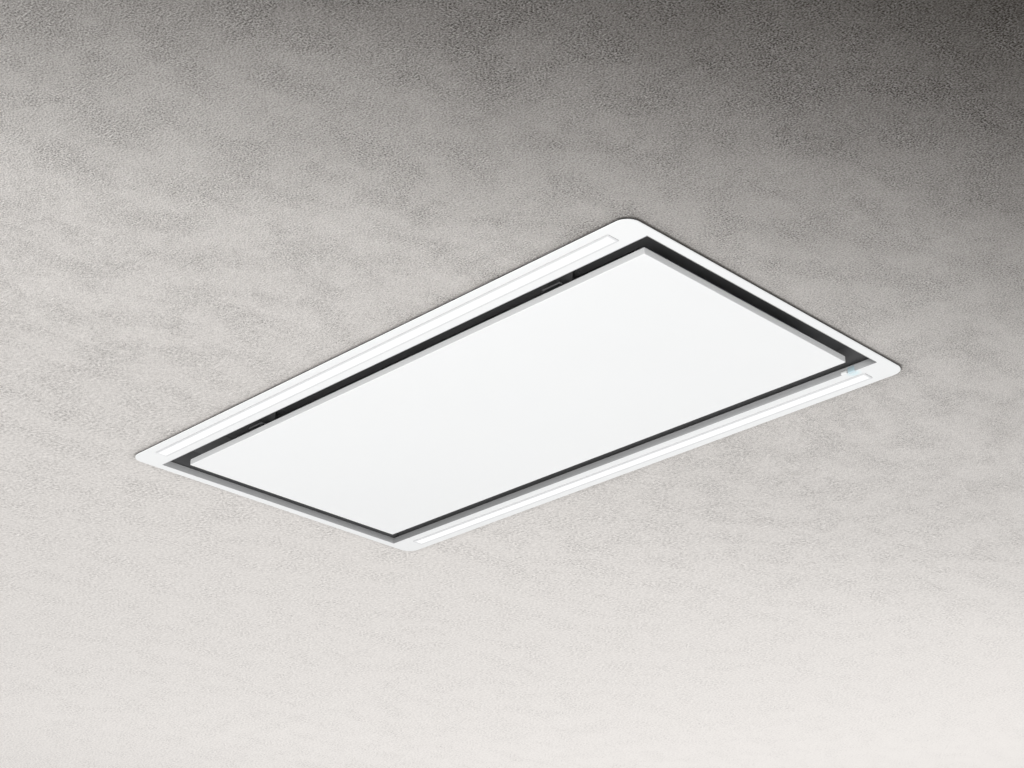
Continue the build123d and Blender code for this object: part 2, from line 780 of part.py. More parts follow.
def hinge_bracket(side):
    """Fixed clevis under the deck, with an ear on each side of the arm."""
    inner = ARM_W / 2 + EAR_GAP
    outer = inner + EAR_T
    ear = Pos(HINGE_Y, HINGE_Z) * Circle(HINGE_EYE_R)
    ear += Pos(HINGE_Y, (HINGE_Z + DECK_Z) / 2) * Rectangle(2 * HINGE_EYE_R, DECK_Z - HINGE_Z)
    clevis = extrude(Plane.YZ * ear, amount=outer, both=True)
    base_y = (HINGE_Y - CLEVIS_HALF_Y, HINGE_Y + CLEVIS_HALF_Y)
    clevis -= block((-inner, inner), base_y, (HINGE_Z - HINGE_EYE_R, DECK_Z - EAR_T))
    clevis += block((-CLEVIS_HALF_X, CLEVIS_HALF_X), base_y, (DECK_Z - EAR_T, DECK_Z))
    clevis -= rod((0, HINGE_Y, HINGE_Z), HINGE_PIN_R, outer + 1, "x")
    return Pos(side * HINGE_X, 0, 0) * clevis


def hinge_pin(side):
    """Pin through both ears, with a head at each end."""
    outer = ARM_W / 2 + EAR_GAP + EAR_T
    centre = (0, HINGE_Y, HINGE_Z)
    pin = rod(centre, HINGE_PIN_R, outer + PIN_HEAD, "x")
    for x in (-outer - PIN_HEAD / 2, outer + PIN_HEAD / 2):
        pin += rod((x, HINGE_Y, HINGE_Z), HINGE_PIN_R + PIN_HEAD, PIN_HEAD / 2, "x")
    return Pos(side * HINGE_X, 0, 0) * pin


def catch_bracket(side):
    """Stepped strip that hangs a magnet over the panel's lip."""
    thick = CATCH_T
    low = PANEL_TOP + CATCH_AIR + MAGNET_H
    tip = -CATCH_Y - MAGNET_W / 2 - 1
    step = -CATCH_Y + CATCH_DROP
    section = Polyline(
        (tip, low),
        (step, low),
        (step, DECK_Z - thick),
        (step + CATCH_FOOT, DECK_Z - thick),
        (step + CATCH_FOOT, DECK_Z),
        (step - thick, DECK_Z),
        (step - thick, low + thick),
        (tip, low + thick),
        close=True,
    )
    strip = extrude(Plane.YZ * make_face(section), amount=CATCH_W / 2, both=True)
    return Pos(side * CATCH_X, 0, 0) * strip


def catch_magnet(side):
    """Magnet in its carrier, a hair above the panel's lip."""
    low = PANEL_TOP + CATCH_AIR
    middle = (side * CATCH_X, -CATCH_Y, low + MAGNET_H / 2)
    magnet = Pos(*middle) * Box(MAGNET_L, MAGNET_W, MAGNET_H)
    return fillet(magnet.edges().filter_by(Axis.Z), 2)


# ---- blower ----


def scroll_face(grow):
    """Outline of the scroll and its upward neck, about the wheel's axis, in its own plane.

    Three quarter arcs, each larger than the last by one step, run round the wheel from the
    tongue, and the neck's walls leave them straight upwards.
    """
    half = SCROLL_STEP / 2
    first = SCROLL_R + grow
    right = SCROLL_RIGHT + grow
    left = -SCROLL_LEFT - grow
    neck = NECK_TOP - AXIS_Z
    tongue = -half + sqrt(first**2 - (right - half) ** 2)
    angle = 90 - (180 / pi) * ((right - half) / first)
    arcs = [
        ThreePointArc(
            (right, tongue),
            (half + first * cos(radians(angle / 2)), -half + first * sin(radians(angle / 2))),
            (half + first, -half),
        ),
        CenterArc((-half, -half), first + SCROLL_STEP, -90, 90),
        CenterArc((-half, half), first + 2 * SCROLL_STEP, 180, 90),
    ]
    lines = [
        Line((left, half), (left, neck)),
        Line((left, neck), (right, neck)),
        Line((right, neck), (right, tongue)),
    ]
    face = make_face(arcs + lines)
    corner = face.vertices().sort_by_distance((right, tongue))[0]
    return fillet(corner, TONGUE_R - min(grow, TONGUE_R - 1))


def on_axis(sketch):
    """A flat outline set square to the wheel's axis, on it."""
    return Pos(0, AXIS_Y, AXIS_Z) * (Plane.YZ * sketch)


def scroll_wrap():
    """The scroll's curved sheet."""
    ring = scroll_face(SCROLL_T) - scroll_face(0)
    return extrude(on_axis(ring), amount=SCROLL_HALF, both=True)


def turned(points_and_arcs):
    """A ring turned about the wheel's axis from a half section in x and radius."""
    ring = revolve(Plane.XY * make_face(points_and_arcs), Axis.X)
    return Pos(0, AXIS_Y, AXIS_Z) * ring


def scroll_side(side):
    """Side plate with a bell mouth drawn into its inlet and a flange at its top."""
    sheet = extrude(on_axis(scroll_face(4)), amount=SCROLL_T)
    plate = Pos(SCROLL_HALF, 0, 0) * sheet
    throat = SIDE_X - BELL_R
    mouth_r = BELL_THROAT + BELL_R
    plate -= rod((SCROLL_HALF, AXIS_Y, AXIS_Z), mouth_r, 5, "x")
    inner = BELL_R - SCROLL_T
    curl = 0.7071
    outside = ThreePointArc(
        (SIDE_X, mouth_r),
        (throat + BELL_R * curl, mouth_r - BELL_R * curl),
        (throat, BELL_THROAT),
    )
    inside = ThreePointArc(
        (throat, BELL_THROAT + SCROLL_T),
        (throat + inner * curl, mouth_r - inner * curl),
        (SCROLL_HALF, mouth_r),
    )
    plate += turned(
        [outside, Line(outside @ 1, inside @ 0), inside, Line(inside @ 1, outside @ 0)]
    )
    plate += block(
        (SCROLL_HALF, SIDE_X + 14),
        (-SCROLL_LEFT + AXIS_Y - 4, SCROLL_RIGHT + AXIS_Y + 4),
        (NECK_TOP - SCROLL_T, NECK_TOP),
    )
    return plate if side > 0 else mirror(plate, Plane.YZ)


def blade_outline():
    """One forward-curved blade: two arcs a blade's thickness apart."""
    middle = (BLADE_IN_R + WHEEL_R) / 2
    arcs = []
    for shift in (0, BLADE_T):
        points = []
        for radius, lean, bulge in (
            (BLADE_IN_R, 0, 0),
            (middle, BLADE_LEAN / 2, BLADE_BULGE),
            (WHEEL_R, BLADE_LEAN, 0),
        ):
            angle = radians(lean) + (bulge + shift) / radius
            points.append((radius * cos(angle), radius * sin(angle)))
        arcs.append(ThreePointArc(*points))
    back, front = arcs
    return make_face([back, Line(back @ 1, front @ 1), front, Line(front @ 0, back @ 0)])


def impeller():
    """Double inlet wheel: dished centre disc on a hub, forty blades and two end rings."""
    blades = Sketch() + PolarLocations(0, BLADE_COUNT) * blade_outline()
    wheel = extrude(on_axis(blades), amount=WHEEL_HALF - RING_T / 2, both=True)
    disc_t = DISC_T / 2
    hub_half = HUB_HALF
    disc = Polyline(
        (-hub_half, SHAFT_R),
        (hub_half, SHAFT_R),
        (hub_half, HUB_R),
        (disc_t + 4, HUB_R + 2),
        (disc_t, HUB_R + 30),
        (disc_t, WHEEL_R),
        (-disc_t, WHEEL_R),
        (-disc_t, HUB_R + 30),
        (-disc_t + 4, HUB_R + 2),
        (-hub_half, HUB_R),
        close=True,
    )
    wheel += turned(disc)
    for x in (-WHEEL_HALF, WHEEL_HALF - RING_T):
        ring = Polyline(
            (x, RING_IN_R),
            (x + RING_T, RING_IN_R),
            (x + RING_T, WHEEL_R + 1),
            (x, WHEEL_R + 1),
            close=True,
        )
        wheel += turned(ring)
    return wheel


def motor_shaft():
    """Shaft through the motor and the wheel's hub."""
    x = (-SPIDER_X - 6, 12.0)
    middle = (x[0] + x[1]) / 2
    return rod((middle, AXIS_Y, AXIS_Z), SHAFT_R, (x[1] - x[0]) / 2, "x")


def motor():
    """Motor can with rounded shoulders, air slots behind and a seat for a bush at each end."""
    back = -SPIDER_X
    shoulder = 6.0
    section = [
        Line((back, BUSH_R), (back, MOTOR_R - shoulder)),
        ThreePointArc(
            (back, MOTOR_R - shoulder),
            (back + shoulder * 0.2929, MOTOR_R - shoulder * 0.2929),
            (back + shoulder, MOTOR_R),
        ),
        Line((back + shoulder, MOTOR_R), (MOTOR_FRONT - shoulder, MOTOR_R)),
        ThreePointArc(
            (MOTOR_FRONT - shoulder, MOTOR_R),
            (MOTOR_FRONT - shoulder * 0.2929, MOTOR_R - shoulder * 0.2929),
            (MOTOR_FRONT, MOTOR_R - shoulder),
        ),
        Line((MOTOR_FRONT, MOTOR_R - shoulder), (MOTOR_FRONT, BUSH_R)),
        Line((MOTOR_FRONT, BUSH_R), (back, BUSH_R)),
    ]
    can = turned(section)
    window = Plane.YZ * Pos(MOTOR_R - 16, 0) * SlotOverall(18, 5)
    for turn in range(0, 360, 30):
        cut = extrude(Rot(turn, 0, 0) * window, amount=8)
        can -= Pos(back, AXIS_Y, AXIS_Z) * cut
    return can


def motor_bushes():
    """Bronze bushes that carry the shaft."""
    bore = SHAFT_R + BUSH_CLEARANCE
    for x in (-SPIDER_X + BUSH_L / 2, MOTOR_FRONT - BUSH_L / 2):
        centre = (x, AXIS_Y, AXIS_Z)
        yield rod(centre, BUSH_R, BUSH_L / 2, "x") - rod(centre, bore, BUSH_L, "x")


def motor_spider():
    """Three-armed plate that holds the motor across the inlet."""
    arm = Pos(SPIDER_R / 2, 0) * Rectangle(SPIDER_R, SPIDER_ARM_W)
    arm += Pos(SPIDER_R, 0) * Circle(SPIDER_ARM_W / 2)
    plate = Circle(MOTOR_R - 6)
    for turn in SPIDER_TURNS:
        plate += Rot(0, 0, turn) * arm
    plate -= Circle(SPIDER_BORE_R)
    for turn in SPIDER_TURNS:
        plate -= Rot(0, 0, turn) * Pos(SPIDER_R, 0) * Circle(SPIDER_HOLE_R)
    return Pos(-SPIDER_X - SPIDER_T, 0, 0) * extrude(on_axis(plate), amount=SPIDER_T)


def motor_grommets():
    """Rubber rings between the spider's arms and the side plate."""
    ring = Circle(GROMMET_R) - Circle(SPIDER_HOLE_R)
    rings = Sketch() + PolarLocations(SPIDER_R, 3, start_angle=SPIDER_TURNS[0]) * ring
    return Pos(-SPIDER_X, 0, 0) * extrude(on_axis(rings), amount=GROMMET_T)


def capacitor():
    """Run capacitor, standing on the deck beside the scroll."""
    base = DECK_Z + DECK_T
    can = Pos(*CAPACITOR_AT, base + CAPACITOR_H / 2) * Cylinder(CAPACITOR_R, CAPACITOR_H)
    return fillet(can.faces().sort_by(Axis.Z)[-1].edges(), 3)


def capacitor_clip():
    """Band round the capacitor with a foot on the deck."""
    base = DECK_Z + DECK_T
    x, y = CAPACITOR_AT
    top = base + CLIP_BAND_H
    outer = CAPACITOR_R + CLIP_BAND_T
    band = slab(Circle(outer), base, top)
    band += block((0, outer + CLIP_BAND_H), (-8, 8), (base, base + CLIP_BAND_T))
    band -= slab(Circle(CAPACITOR_R), base, top)
    return Pos(x, y, 0) * band


# ---- outlet ----


def duct_collar():
    """Round spigot on a flange."""
    low = CASE_TOP
    collar = slab(Circle(COLLAR_FLANGE_R), low, low + COLLAR_FLANGE_T)
    collar += slab(Circle(COLLAR_R), low, low + COLLAR_H)
    return collar - slab(Circle(COLLAR_R - COLLAR_T), low, low + COLLAR_H)


def flap_insert():
    """Ring inside the collar, with the flaps' seat, a centre bar and holes for their rods."""
    seat = FLAP_Z - FLAP_T / 2 - SEAT_AIR
    low = seat - SEAT_T
    bore = INSERT_R - INSERT_T
    insert = slab(Circle(INSERT_R) - Circle(bore), low, low + INSERT_H)
    insert += slab(Circle(bore) - Circle(bore - SEAT_W), low, seat)
    bar = FLAP_Y - FLAP_ROD_R - 0.6
    insert += block((-bore, bore), (-bar, bar), (low, FLAP_Z + SEAT_T))
    for side in (-1, 1):
        hole_r = FLAP_ROD_R + FLAP_ROD_CLEARANCE
        insert -= rod((0, side * FLAP_Y, FLAP_Z), hole_r, COLLAR_R, "x")
    return insert


def flap(side):
    """Half-round flap on a rod whose ends turn in the insert's wall."""
    disc = Circle(FLAP_R) - Pos(0, -side * FLAP_R) * Rectangle(3 * FLAP_R, 2 * FLAP_R)
    disc -= Pos(0, side * FLAP_Y / 2) * Rectangle(3 * FLAP_R, FLAP_Y)
    leaf = slab(disc, FLAP_Z - FLAP_T / 2, FLAP_Z + FLAP_T / 2)
    return leaf + rod((0, side * FLAP_Y, FLAP_Z), FLAP_ROD_R, INSERT_R - 0.6, "x")


# ---- controls ----


def control_box():
    """Tray on the +X end plate, open inwards, with a hole in its top for the cable gland."""
    x = (BOX_X, CASE_X - CASE_T)
    tray = block(x, BOX_Y, BOX_Z)
    y = (BOX_Y[0] + BOX_T, BOX_Y[1] - BOX_T)
    z = (BOX_Z[0] + BOX_T, BOX_Z[1] - BOX_T)
    tray -= block((x[0], x[1] - BOX_T), y, z)
    return tray - rod((GLAND_X, GLAND_Y, BOX_Z[1]), GLAND_R, 5, "z")


def control_cover():
    """Lid of the control tray, with turned edges and air slots."""
    lid = block((BOX_X - BOX_T, BOX_X + 6), grown(BOX_Y), grown(BOX_Z))
    lid -= block((BOX_X, BOX_X + 6), BOX_Y, BOX_Z)
    slots = Plane.YZ * (Sketch() + GridLocations(0, 8, 1, 5) * SlotOverall(60, 3))
    middle = (BOX_Z[0] + BOX_Z[1]) / 2
    return lid - Pos(BOX_X - BOX_T, BOX_Y[0] + 60, middle) * extrude(slots, amount=BOX_T)


def grown(span):
    """A span one sheet wider at each end."""
    return (span[0] - BOX_T, span[1] + BOX_T)


def control_board():
    """Circuit board with a transformer, two relays and two capacitors."""
    back = CASE_X - CASE_T - BOX_T - CIRCUIT_STAND
    face = back - CIRCUIT_T
    y = BOX_Y[0] + 10
    low = BOX_Z[0] + 10
    board = block((face, back), (y, y + CIRCUIT_L), (low, low + CIRCUIT_H))
    depth, width = TRANSFORMER
    first = (y + 6, y + 6 + width)
    board += block((face - depth, face), first, (low + 20, low + 20 + width))
    depth, width, high = RELAY
    second = first[1] + 10
    for z in (low + 8, low + CIRCUIT_H - high - 8):
        board += block((face - depth, face), (second, second + width), (z, z + high))
        centre = (face - CAN_H / 2, second + width + 18, z + high / 2)
        board += rod(centre, CAN_R, CAN_H / 2, "x")
    return board


def terminal_block():
    """Five-way connector in the tray, below the cable gland."""
    x = CASE_X - CASE_T - BOX_T
    y = BOX_Y[1] - TERMINAL_L - 15
    low = BOX_Z[0] + 14
    front = x - TERMINAL_W
    body = block((front, x), (y, y + TERMINAL_L), (low, low + TERMINAL_H))
    pitch = TERMINAL_L / TERMINALS
    for step in range(TERMINALS):
        spot = y + pitch * (step + 0.5)
        body -= rod((front, spot, low + TERMINAL_H / 2), 2.5, 6, "x")
        body -= rod((front + TERMINAL_W / 2, spot, low), 2.5, 6, "z")
    return body


def cable_gland():
    """Gland for the supply cable: two hexagons, a barrel through plate and tray, a dome nut."""
    hexagon = Pos(GLAND_X, GLAND_Y) * RegularPolygon(GLAND_R + 3, 6)
    barrel = Pos(GLAND_X, GLAND_Y) * Circle(GLAND_R)
    tray_top = BOX_Z[1] - BOX_T
    seat = CASE_TOP + GLAND_PLATE_T
    gland = slab(barrel, tray_top - 7, seat + 10)
    gland += slab(hexagon, seat, seat + 5)
    gland += slab(hexagon, tray_top - 4, tray_top)
    dome = slab(Pos(GLAND_X, GLAND_Y) * Circle(GLAND_R + 1), seat + 5, seat + 16)
    gland += fillet(dome.faces().sort_by(Axis.Z)[-1].edges(), 3)
    bore = Pos(GLAND_X, GLAND_Y) * Circle(GLAND_BORE_R)
    return gland - slab(bore, tray_top - 7, seat + 16)


SINGLE = (
    ceiling_gasket,
    trim_frame,
    receiver_window,
    status_lens,
    sensor_housing,
    sensor_board,
    light_driver,
    casing_top,
    cable_plate,
    chamber_skirt,
    filter_deck,
    cover_panel,
    scroll_wrap,
    impeller,
    motor_shaft,
    motor,
    motor_spider,
    motor_grommets,
    capacitor,
    capacitor_clip,
    duct_collar,
    flap_insert,
    control_box,
    control_cover,
    control_board,
    terminal_block,
    cable_gland,
)
GROUPS = (return_frame, frame_clips, motor_bushes)
PAIRS = (
    light_board,
    hanger_rail,
    end_deflector,
    panel_stiffener,
    hinge_bracket,
    hinge_arm,
    hinge_pin,
    catch_bracket,
    catch_magnet,
    scroll_side,
)
ENDS = (casing_end, filter_frame, mesh_pad, latch_cup, latch_slider, latch_spring)
LONG_SIDES = (casing_side, light_channel, light_cover, flap)


def main():
    """Write every sub-part: left is -X, right is +X, front is -Y and back is +Y."""
    os.makedirs("parts", exist_ok=True)
    for make in SINGLE:
        save(make.__name__, make())
    for make in GROUPS:
        save(make.__name__, *make())
    for make in PAIRS:
        save(f"{make.__name__}s", make(-1), make(1))
    for make in ENDS:
        for name, side in (("left", -1), ("right", 1)):
            save(f"{make.__name__}_{name}", make(side))
    for make in LONG_SIDES:
        for name, side in (("front", -1), ("back", 1)):
            save(f"{make.__name__}_{name}", make(side))


main()
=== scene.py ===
"""Looks of the flush ceiling range hood: finishes, filter mesh, screws, rivets and welds.

Metres, +Z up. The origin is the centre of the ceiling cut-out, on the ceiling's underside.
"""

import bmesh
import bpy
import json
from math import cos, pi, radians, sin, tau
from mathutils import Matrix, Vector
from random import Random

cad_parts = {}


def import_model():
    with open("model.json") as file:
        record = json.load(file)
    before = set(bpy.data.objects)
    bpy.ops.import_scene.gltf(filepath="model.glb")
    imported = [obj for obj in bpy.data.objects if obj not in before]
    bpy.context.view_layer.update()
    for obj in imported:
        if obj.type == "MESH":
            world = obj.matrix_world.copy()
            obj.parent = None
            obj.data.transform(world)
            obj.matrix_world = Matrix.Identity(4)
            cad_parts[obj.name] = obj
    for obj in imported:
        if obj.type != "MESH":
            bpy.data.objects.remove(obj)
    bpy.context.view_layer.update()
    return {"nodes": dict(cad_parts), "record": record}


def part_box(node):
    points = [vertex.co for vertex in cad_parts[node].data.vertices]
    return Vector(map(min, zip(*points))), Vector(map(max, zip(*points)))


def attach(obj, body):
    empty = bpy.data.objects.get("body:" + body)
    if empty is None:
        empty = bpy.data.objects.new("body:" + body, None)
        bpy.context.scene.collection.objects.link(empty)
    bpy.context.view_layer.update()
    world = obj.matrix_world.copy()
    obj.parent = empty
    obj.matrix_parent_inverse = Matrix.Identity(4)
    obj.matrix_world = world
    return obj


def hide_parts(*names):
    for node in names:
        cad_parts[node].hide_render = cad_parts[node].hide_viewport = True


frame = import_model()
MM = 0.001


# ---- places taken from the frame ----


def span(node, axis):
    """A node's low and high coordinate along one axis: 0 is x, 1 is y, 2 is z."""
    low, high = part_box(node)
    return low[axis], high[axis]


FACE_Z = span("trim_frame", 2)[0]
OPEN_Y = 235 * MM
LIGHT_Y = sum(span("light_cover_back", 1)) / 2
LIGHT_HALF_W = 10 * MM
LIGHT_HALF_L = 455 * MM
CASE_X = span("casing_top", 0)[1]
CASE_Y = span("casing_top", 1)[1]
CASE_TOP = span("casing_top", 2)[1]
TAB_REACH = 8 * MM


# ---- shader nodes ----


def put(tree, kind, inputs=(), **settings):
    """Adds a node, makes its plain settings, and sets or links its inputs."""
    made = tree.nodes.new("ShaderNode" + kind)
    for name, value in settings.items():
        setattr(made, name, value)
    for name, value in dict(inputs).items():
        socket = made.inputs[name]
        if isinstance(value, bpy.types.NodeSocket):
            tree.links.new(value, socket)
        else:
            socket.default_value = value
    return made


def maths(tree, operation, first, second=0.0, third=0.0, clamp=False):
    """One step of arithmetic between sockets or numbers."""
    values = {0: first, 1: second, 2: third}
    return put(tree, "Math", values, operation=operation, use_clamp=clamp).outputs[0]


def ramp(tree, value, low, high, out_low=0.0, out_high=1.0):
    """A value carried from one span to another, held at its ends."""
    values = {"Value": value, "From Min": low, "From Max": high, "To Min": out_low, "To Max": out_high}
    return put(tree, "MapRange", values, clamp=True).outputs["Result"]


def noise(tree, place, scale, detail=2.0, stretch=None):
    """Smooth noise from 0 to 1, in detail per metre, stretched along the axes if asked."""
    if stretch:
        place = put(tree, "Mapping", {"Vector": place, "Scale": stretch}).outputs[0]
    values = {"Vector": place, "Scale": scale, "Detail": detail}
    return put(tree, "TexNoise", values).outputs["Fac"]


SKIN = ("Tone", "Gloss", "Height")


def group(name, inputs, outputs=SKIN):
    """A shader node group with number inputs and number outputs."""
    tree = bpy.data.node_groups.new(name, "ShaderNodeTree")
    for socket, value in inputs.items():
        made = tree.interface.new_socket(socket, in_out="INPUT", socket_type="NodeSocketFloat")
        made.default_value = value
    for socket in outputs:
        tree.interface.new_socket(socket, in_out="OUTPUT", socket_type="NodeSocketFloat")
    asked = tree.nodes.new("NodeGroupInput").outputs
    given = tree.nodes.new("NodeGroupOutput").inputs
    place = put(tree, "TexCoord").outputs["Object"]
    return tree, asked, given, place


def paint_skin():
    """Stoved paint: a fine orange peel over slow waves in the sheet, and faint handling marks."""
    tree, asked, given, place = group("paint_skin", {"Peel": 700.0})
    peel = noise(tree, place, asked["Peel"], 1.0)
    wave = noise(tree, place, 6.0, 1.0)
    marks = noise(tree, place, 38.0, 4.0)
    tree.links.new(noise(tree, place, 3.0, 3.0), given["Tone"])
    tree.links.new(ramp(tree, marks, 0.42, 0.72), given["Gloss"])
    height = maths(tree, "MULTIPLY_ADD", peel, 0.25, maths(tree, "MULTIPLY", wave, 0.75))
    tree.links.new(height, given["Height"])
    return tree


def zinc_spangle():
    """Galvanised sheet: crystals of differing tone and shine, with a fine grain."""
    tree, asked, given, place = group("zinc_spangle", {"Crystals": 90.0})
    cells = put(tree, "TexVoronoi", {"Vector": place, "Scale": asked["Crystals"], "Randomness": 1.0})
    tint = put(tree, "SeparateColor", {"Color": cells.outputs["Color"]})
    cloud = noise(tree, place, 9.0, 4.0)
    tone = maths(tree, "MULTIPLY_ADD", tint.outputs[0], 0.55, maths(tree, "MULTIPLY", cloud, 0.45))
    tree.links.new(tone, given["Tone"])
    tree.links.new(tint.outputs[1], given["Gloss"])
    grain = noise(tree, place, 900.0, 2.0)
    tree.links.new(maths(tree, "MULTIPLY_ADD", tint.outputs[2], 0.4, grain), given["Height"])
    return tree


def drawn_grain():
    """Rolled or extruded metal: fine lines along X and faint stains."""
    tree, asked, given, place = group("drawn_grain", {"Lines": 1400.0})
    lines = noise(tree, place, asked["Lines"], 2.0, (0.02, 1.0, 1.0))
    stain = noise(tree, place, 24.0, 4.0)
    tone = maths(tree, "MULTIPLY_ADD", lines, 0.5, maths(tree, "MULTIPLY", stain, 0.5))
    tree.links.new(tone, given["Tone"])
    tree.links.new(ramp(tree, stain, 0.35, 0.7), given["Gloss"])
    tree.links.new(lines, given["Height"])
    return tree


def moulded_skin():
    """Moulded plastic: spark-eroded grain and slow flow marks."""
    tree, asked, given, place = group("moulded_skin", {"Grain": 1600.0})
    tree.links.new(noise(tree, place, 14.0, 3.0), given["Tone"])
    tree.links.new(noise(tree, place, 60.0, 3.0), given["Gloss"])
    tree.links.new(noise(tree, place, asked["Grain"], 1.0), given["Height"])
    return tree


def cell_foam():
    """Closed-cell foam: small pores."""
    tree, asked, given, place = group("cell_foam", {"Cells": 1100.0})
    pores = put(tree, "TexVoronoi", {"Vector": place, "Scale": asked["Cells"]}).outputs["Distance"]
    tree.links.new(noise(tree, place, 30.0, 3.0), given["Tone"])
    tree.links.new(pores, given["Gloss"])
    tree.links.new(pores, given["Height"])
    return tree


def edge_rub():
    """Where corners are rubbed: 1 on a worn corner, 0 on a flat."""
    tree, asked, given, place = group("edge_rub", {"Reach": 0.0008, "Amount": 1.0}, ("Mask",))
    soft = put(tree, "Bevel", {"Radius": asked["Reach"]}, samples=4).outputs[0]
    hard = put(tree, "NewGeometry").outputs["Normal"]
    same = put(tree, "VectorMath", {0: soft, 1: hard}, operation="DOT_PRODUCT").outputs["Value"]
    corner = ramp(tree, maths(tree, "SUBTRACT", 1.0, same), 0.02, 0.2)
    worn = ramp(tree, noise(tree, place, 160.0, 3.0), 0.42, 0.68)
    mask = maths(tree, "MULTIPLY", maths(tree, "MULTIPLY", corner, worn), asked["Amount"])
    tree.links.new(mask, given["Mask"])
    return tree


def settled_dust():
    """Dust on faces that look up: 1 where it lies thick."""
    tree, asked, given, place = group("settled_dust", {"Amount": 0.4}, ("Mask",))
    normal = put(tree, "NewGeometry").outputs["Normal"]
    up = put(tree, "SeparateXYZ", {"Vector": normal}).outputs["Z"]
    cloud = ramp(tree, noise(tree, place, 7.0, 6.0), 0.3, 0.8)
    mask = maths(tree, "MULTIPLY", ramp(tree, up, 0.5, 1.0), cloud)
    tree.links.new(maths(tree, "MULTIPLY", mask, asked["Amount"]), given["Mask"])
    return tree


EFFECTS = {make.__name__: make() for make in (
    paint_skin, zinc_spangle, drawn_grain, moulded_skin, cell_foam, edge_rub, settled_dust
)}


def effect(tree, name, **values):
    """Places a shared group in a material with its own values."""
    made = tree.nodes.new("ShaderNodeGroup")
    made.node_tree = EFFECTS[name]
    for socket, value in values.items():
        made.inputs[socket].default_value = value
    return made.outputs


def blend(tree, first, second, share):
    """Two colours mixed by a share from 0 to 1."""
    mixed = put(tree, "Mix", {"Factor": share}, data_type="RGBA")
    for socket, value in ((mixed.inputs[6], first), (mixed.inputs[7], second)):
        if isinstance(value, bpy.types.NodeSocket):
            tree.links.new(value, socket)
        else:
            socket.default_value = (*value, 1.0)
    return mixed.outputs[2]


def blank(name):
    """A new material, its node tree and its shader."""
    material = bpy.data.materials.new(name)
    material.use_nodes = True
    tree = material.node_tree
    return material, tree, tree.nodes["Principled BSDF"]


def coordinates(tree):
    """The object's own coordinates: the whole place, and its X, Y and Z."""
    place = put(tree, "TexCoord").outputs["Object"]
    return place, put(tree, "SeparateXYZ", {"Vector": place}).outputs


def spilled_light(tree, colour):
    """The frame's paint with a faint cyan spill below the status light."""
    low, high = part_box("status_lens")
    spot = ((low.x + high.x) / 2, OPEN_Y + 6 * MM, FACE_Z)
    place = put(tree, "TexCoord").outputs["Object"]
    away = put(tree, "VectorMath", {0: place, 1: spot}, operation="DISTANCE").outputs["Value"]
    share = ramp(tree, away, 3 * MM, 13 * MM, 0.55, 0.0)
    return blend(tree, colour, (0.55, 0.80, 0.86), share)


FINISHES = {}
DUST = (0.42, 0.40, 0.37)


def finish(
    name, base, shade, roughness, skin, bump, metallic=0.0, rub=None, dust=0.0, over=None, **constants
):
    """Keeps a material: two tones of one colour, a span of roughness, and its skin's bump in metres.

    A skin is a shared effect and its values. A rub is the colour of worn corners, how far the wear
    reaches and how strong it is. What lies over the colour is drawn last.
    """
    material, tree, shader = blank(name)
    skin_name, skin_values = skin
    look = effect(tree, skin_name, **skin_values)
    colour = blend(tree, base, shade, look["Tone"])
    rough = ramp(tree, look["Gloss"], 0.0, 1.0, *roughness)
    if rub:
        bare, reach, amount = rub
        worn = effect(tree, "edge_rub", Reach=reach, Amount=amount)["Mask"]
        colour = blend(tree, colour, bare, worn)
    if dust:
        lying = effect(tree, "settled_dust", Amount=dust)["Mask"]
        colour = blend(tree, colour, DUST, lying)
        rough = maths(tree, "MAXIMUM", rough, maths(tree, "MULTIPLY", lying, 1.6))
    if over:
        colour = over(tree, colour)
    tree.links.new(colour, shader.inputs["Base Color"])
    tree.links.new(rough, shader.inputs["Roughness"])
    shader.inputs["Metallic"].default_value = metallic
    for socket, value in constants.items():
        shader.inputs[socket.replace("_", " ").title()].default_value = value
    relief = {"Height": look["Height"], "Distance": bump, "Strength": 1.0}
    tree.links.new(put(tree, "Bump", relief).outputs[0], shader.inputs["Normal"])
    FINISHES[name] = material


WHITE_RUB = ((0.93, 0.93, 0.92), 0.0006, 0.5)

paint = ("paint_skin", {"Peel": 700.0})
spangle = ("zinc_spangle", {"Crystals": 140.0})
plated = ("drawn_grain", {"Lines": 1800.0})
moulded = ("moulded_skin", {"Grain": 1600.0})

finish(
    "frame_paint", (0.865, 0.865, 0.86), (0.85, 0.85, 0.845), (0.32, 0.42), paint, 0.00003,
    rub=WHITE_RUB, over=spilled_light, coat_weight=0.15, coat_roughness=0.12,
)
finish(
    "panel_paint", (0.88, 0.88, 0.875), (0.86, 0.86, 0.855), (0.30, 0.42), paint, 0.00003,
    rub=WHITE_RUB, coat_weight=0.15, coat_roughness=0.12,
)
finish(
    "return_paint", (0.455, 0.455, 0.455), (0.43, 0.43, 0.433), (0.38, 0.5), paint, 0.00002,
    rub=((0.6, 0.6, 0.6), 0.0005, 0.6),
)
finish(
    "black_paint", (0.12, 0.12, 0.122), (0.15, 0.15, 0.152), (0.42, 0.6), paint, 0.00004,
    rub=((0.16, 0.16, 0.16), 0.0008, 0.8), dust=0.25,
)
finish(
    "foam", (0.03, 0.03, 0.03), (0.05, 0.05, 0.05), (0.8, 0.95), ("cell_foam", {"Cells": 1100.0}),
    0.0003,
)
finish(
    "zinc_sheet", (0.64, 0.66, 0.68), (0.46, 0.48, 0.505), (0.30, 0.52), spangle, 0.00002, metallic=0.6,
    rub=((0.75, 0.76, 0.77), 0.0008, 0.7), dust=0.45,
)
finish(
    "bracket_steel", (0.66, 0.66, 0.64), (0.45, 0.45, 0.45), (0.28, 0.42), plated, 0.00002, metallic=1.0,
    rub=((0.8, 0.8, 0.8), 0.0006, 0.8),
)
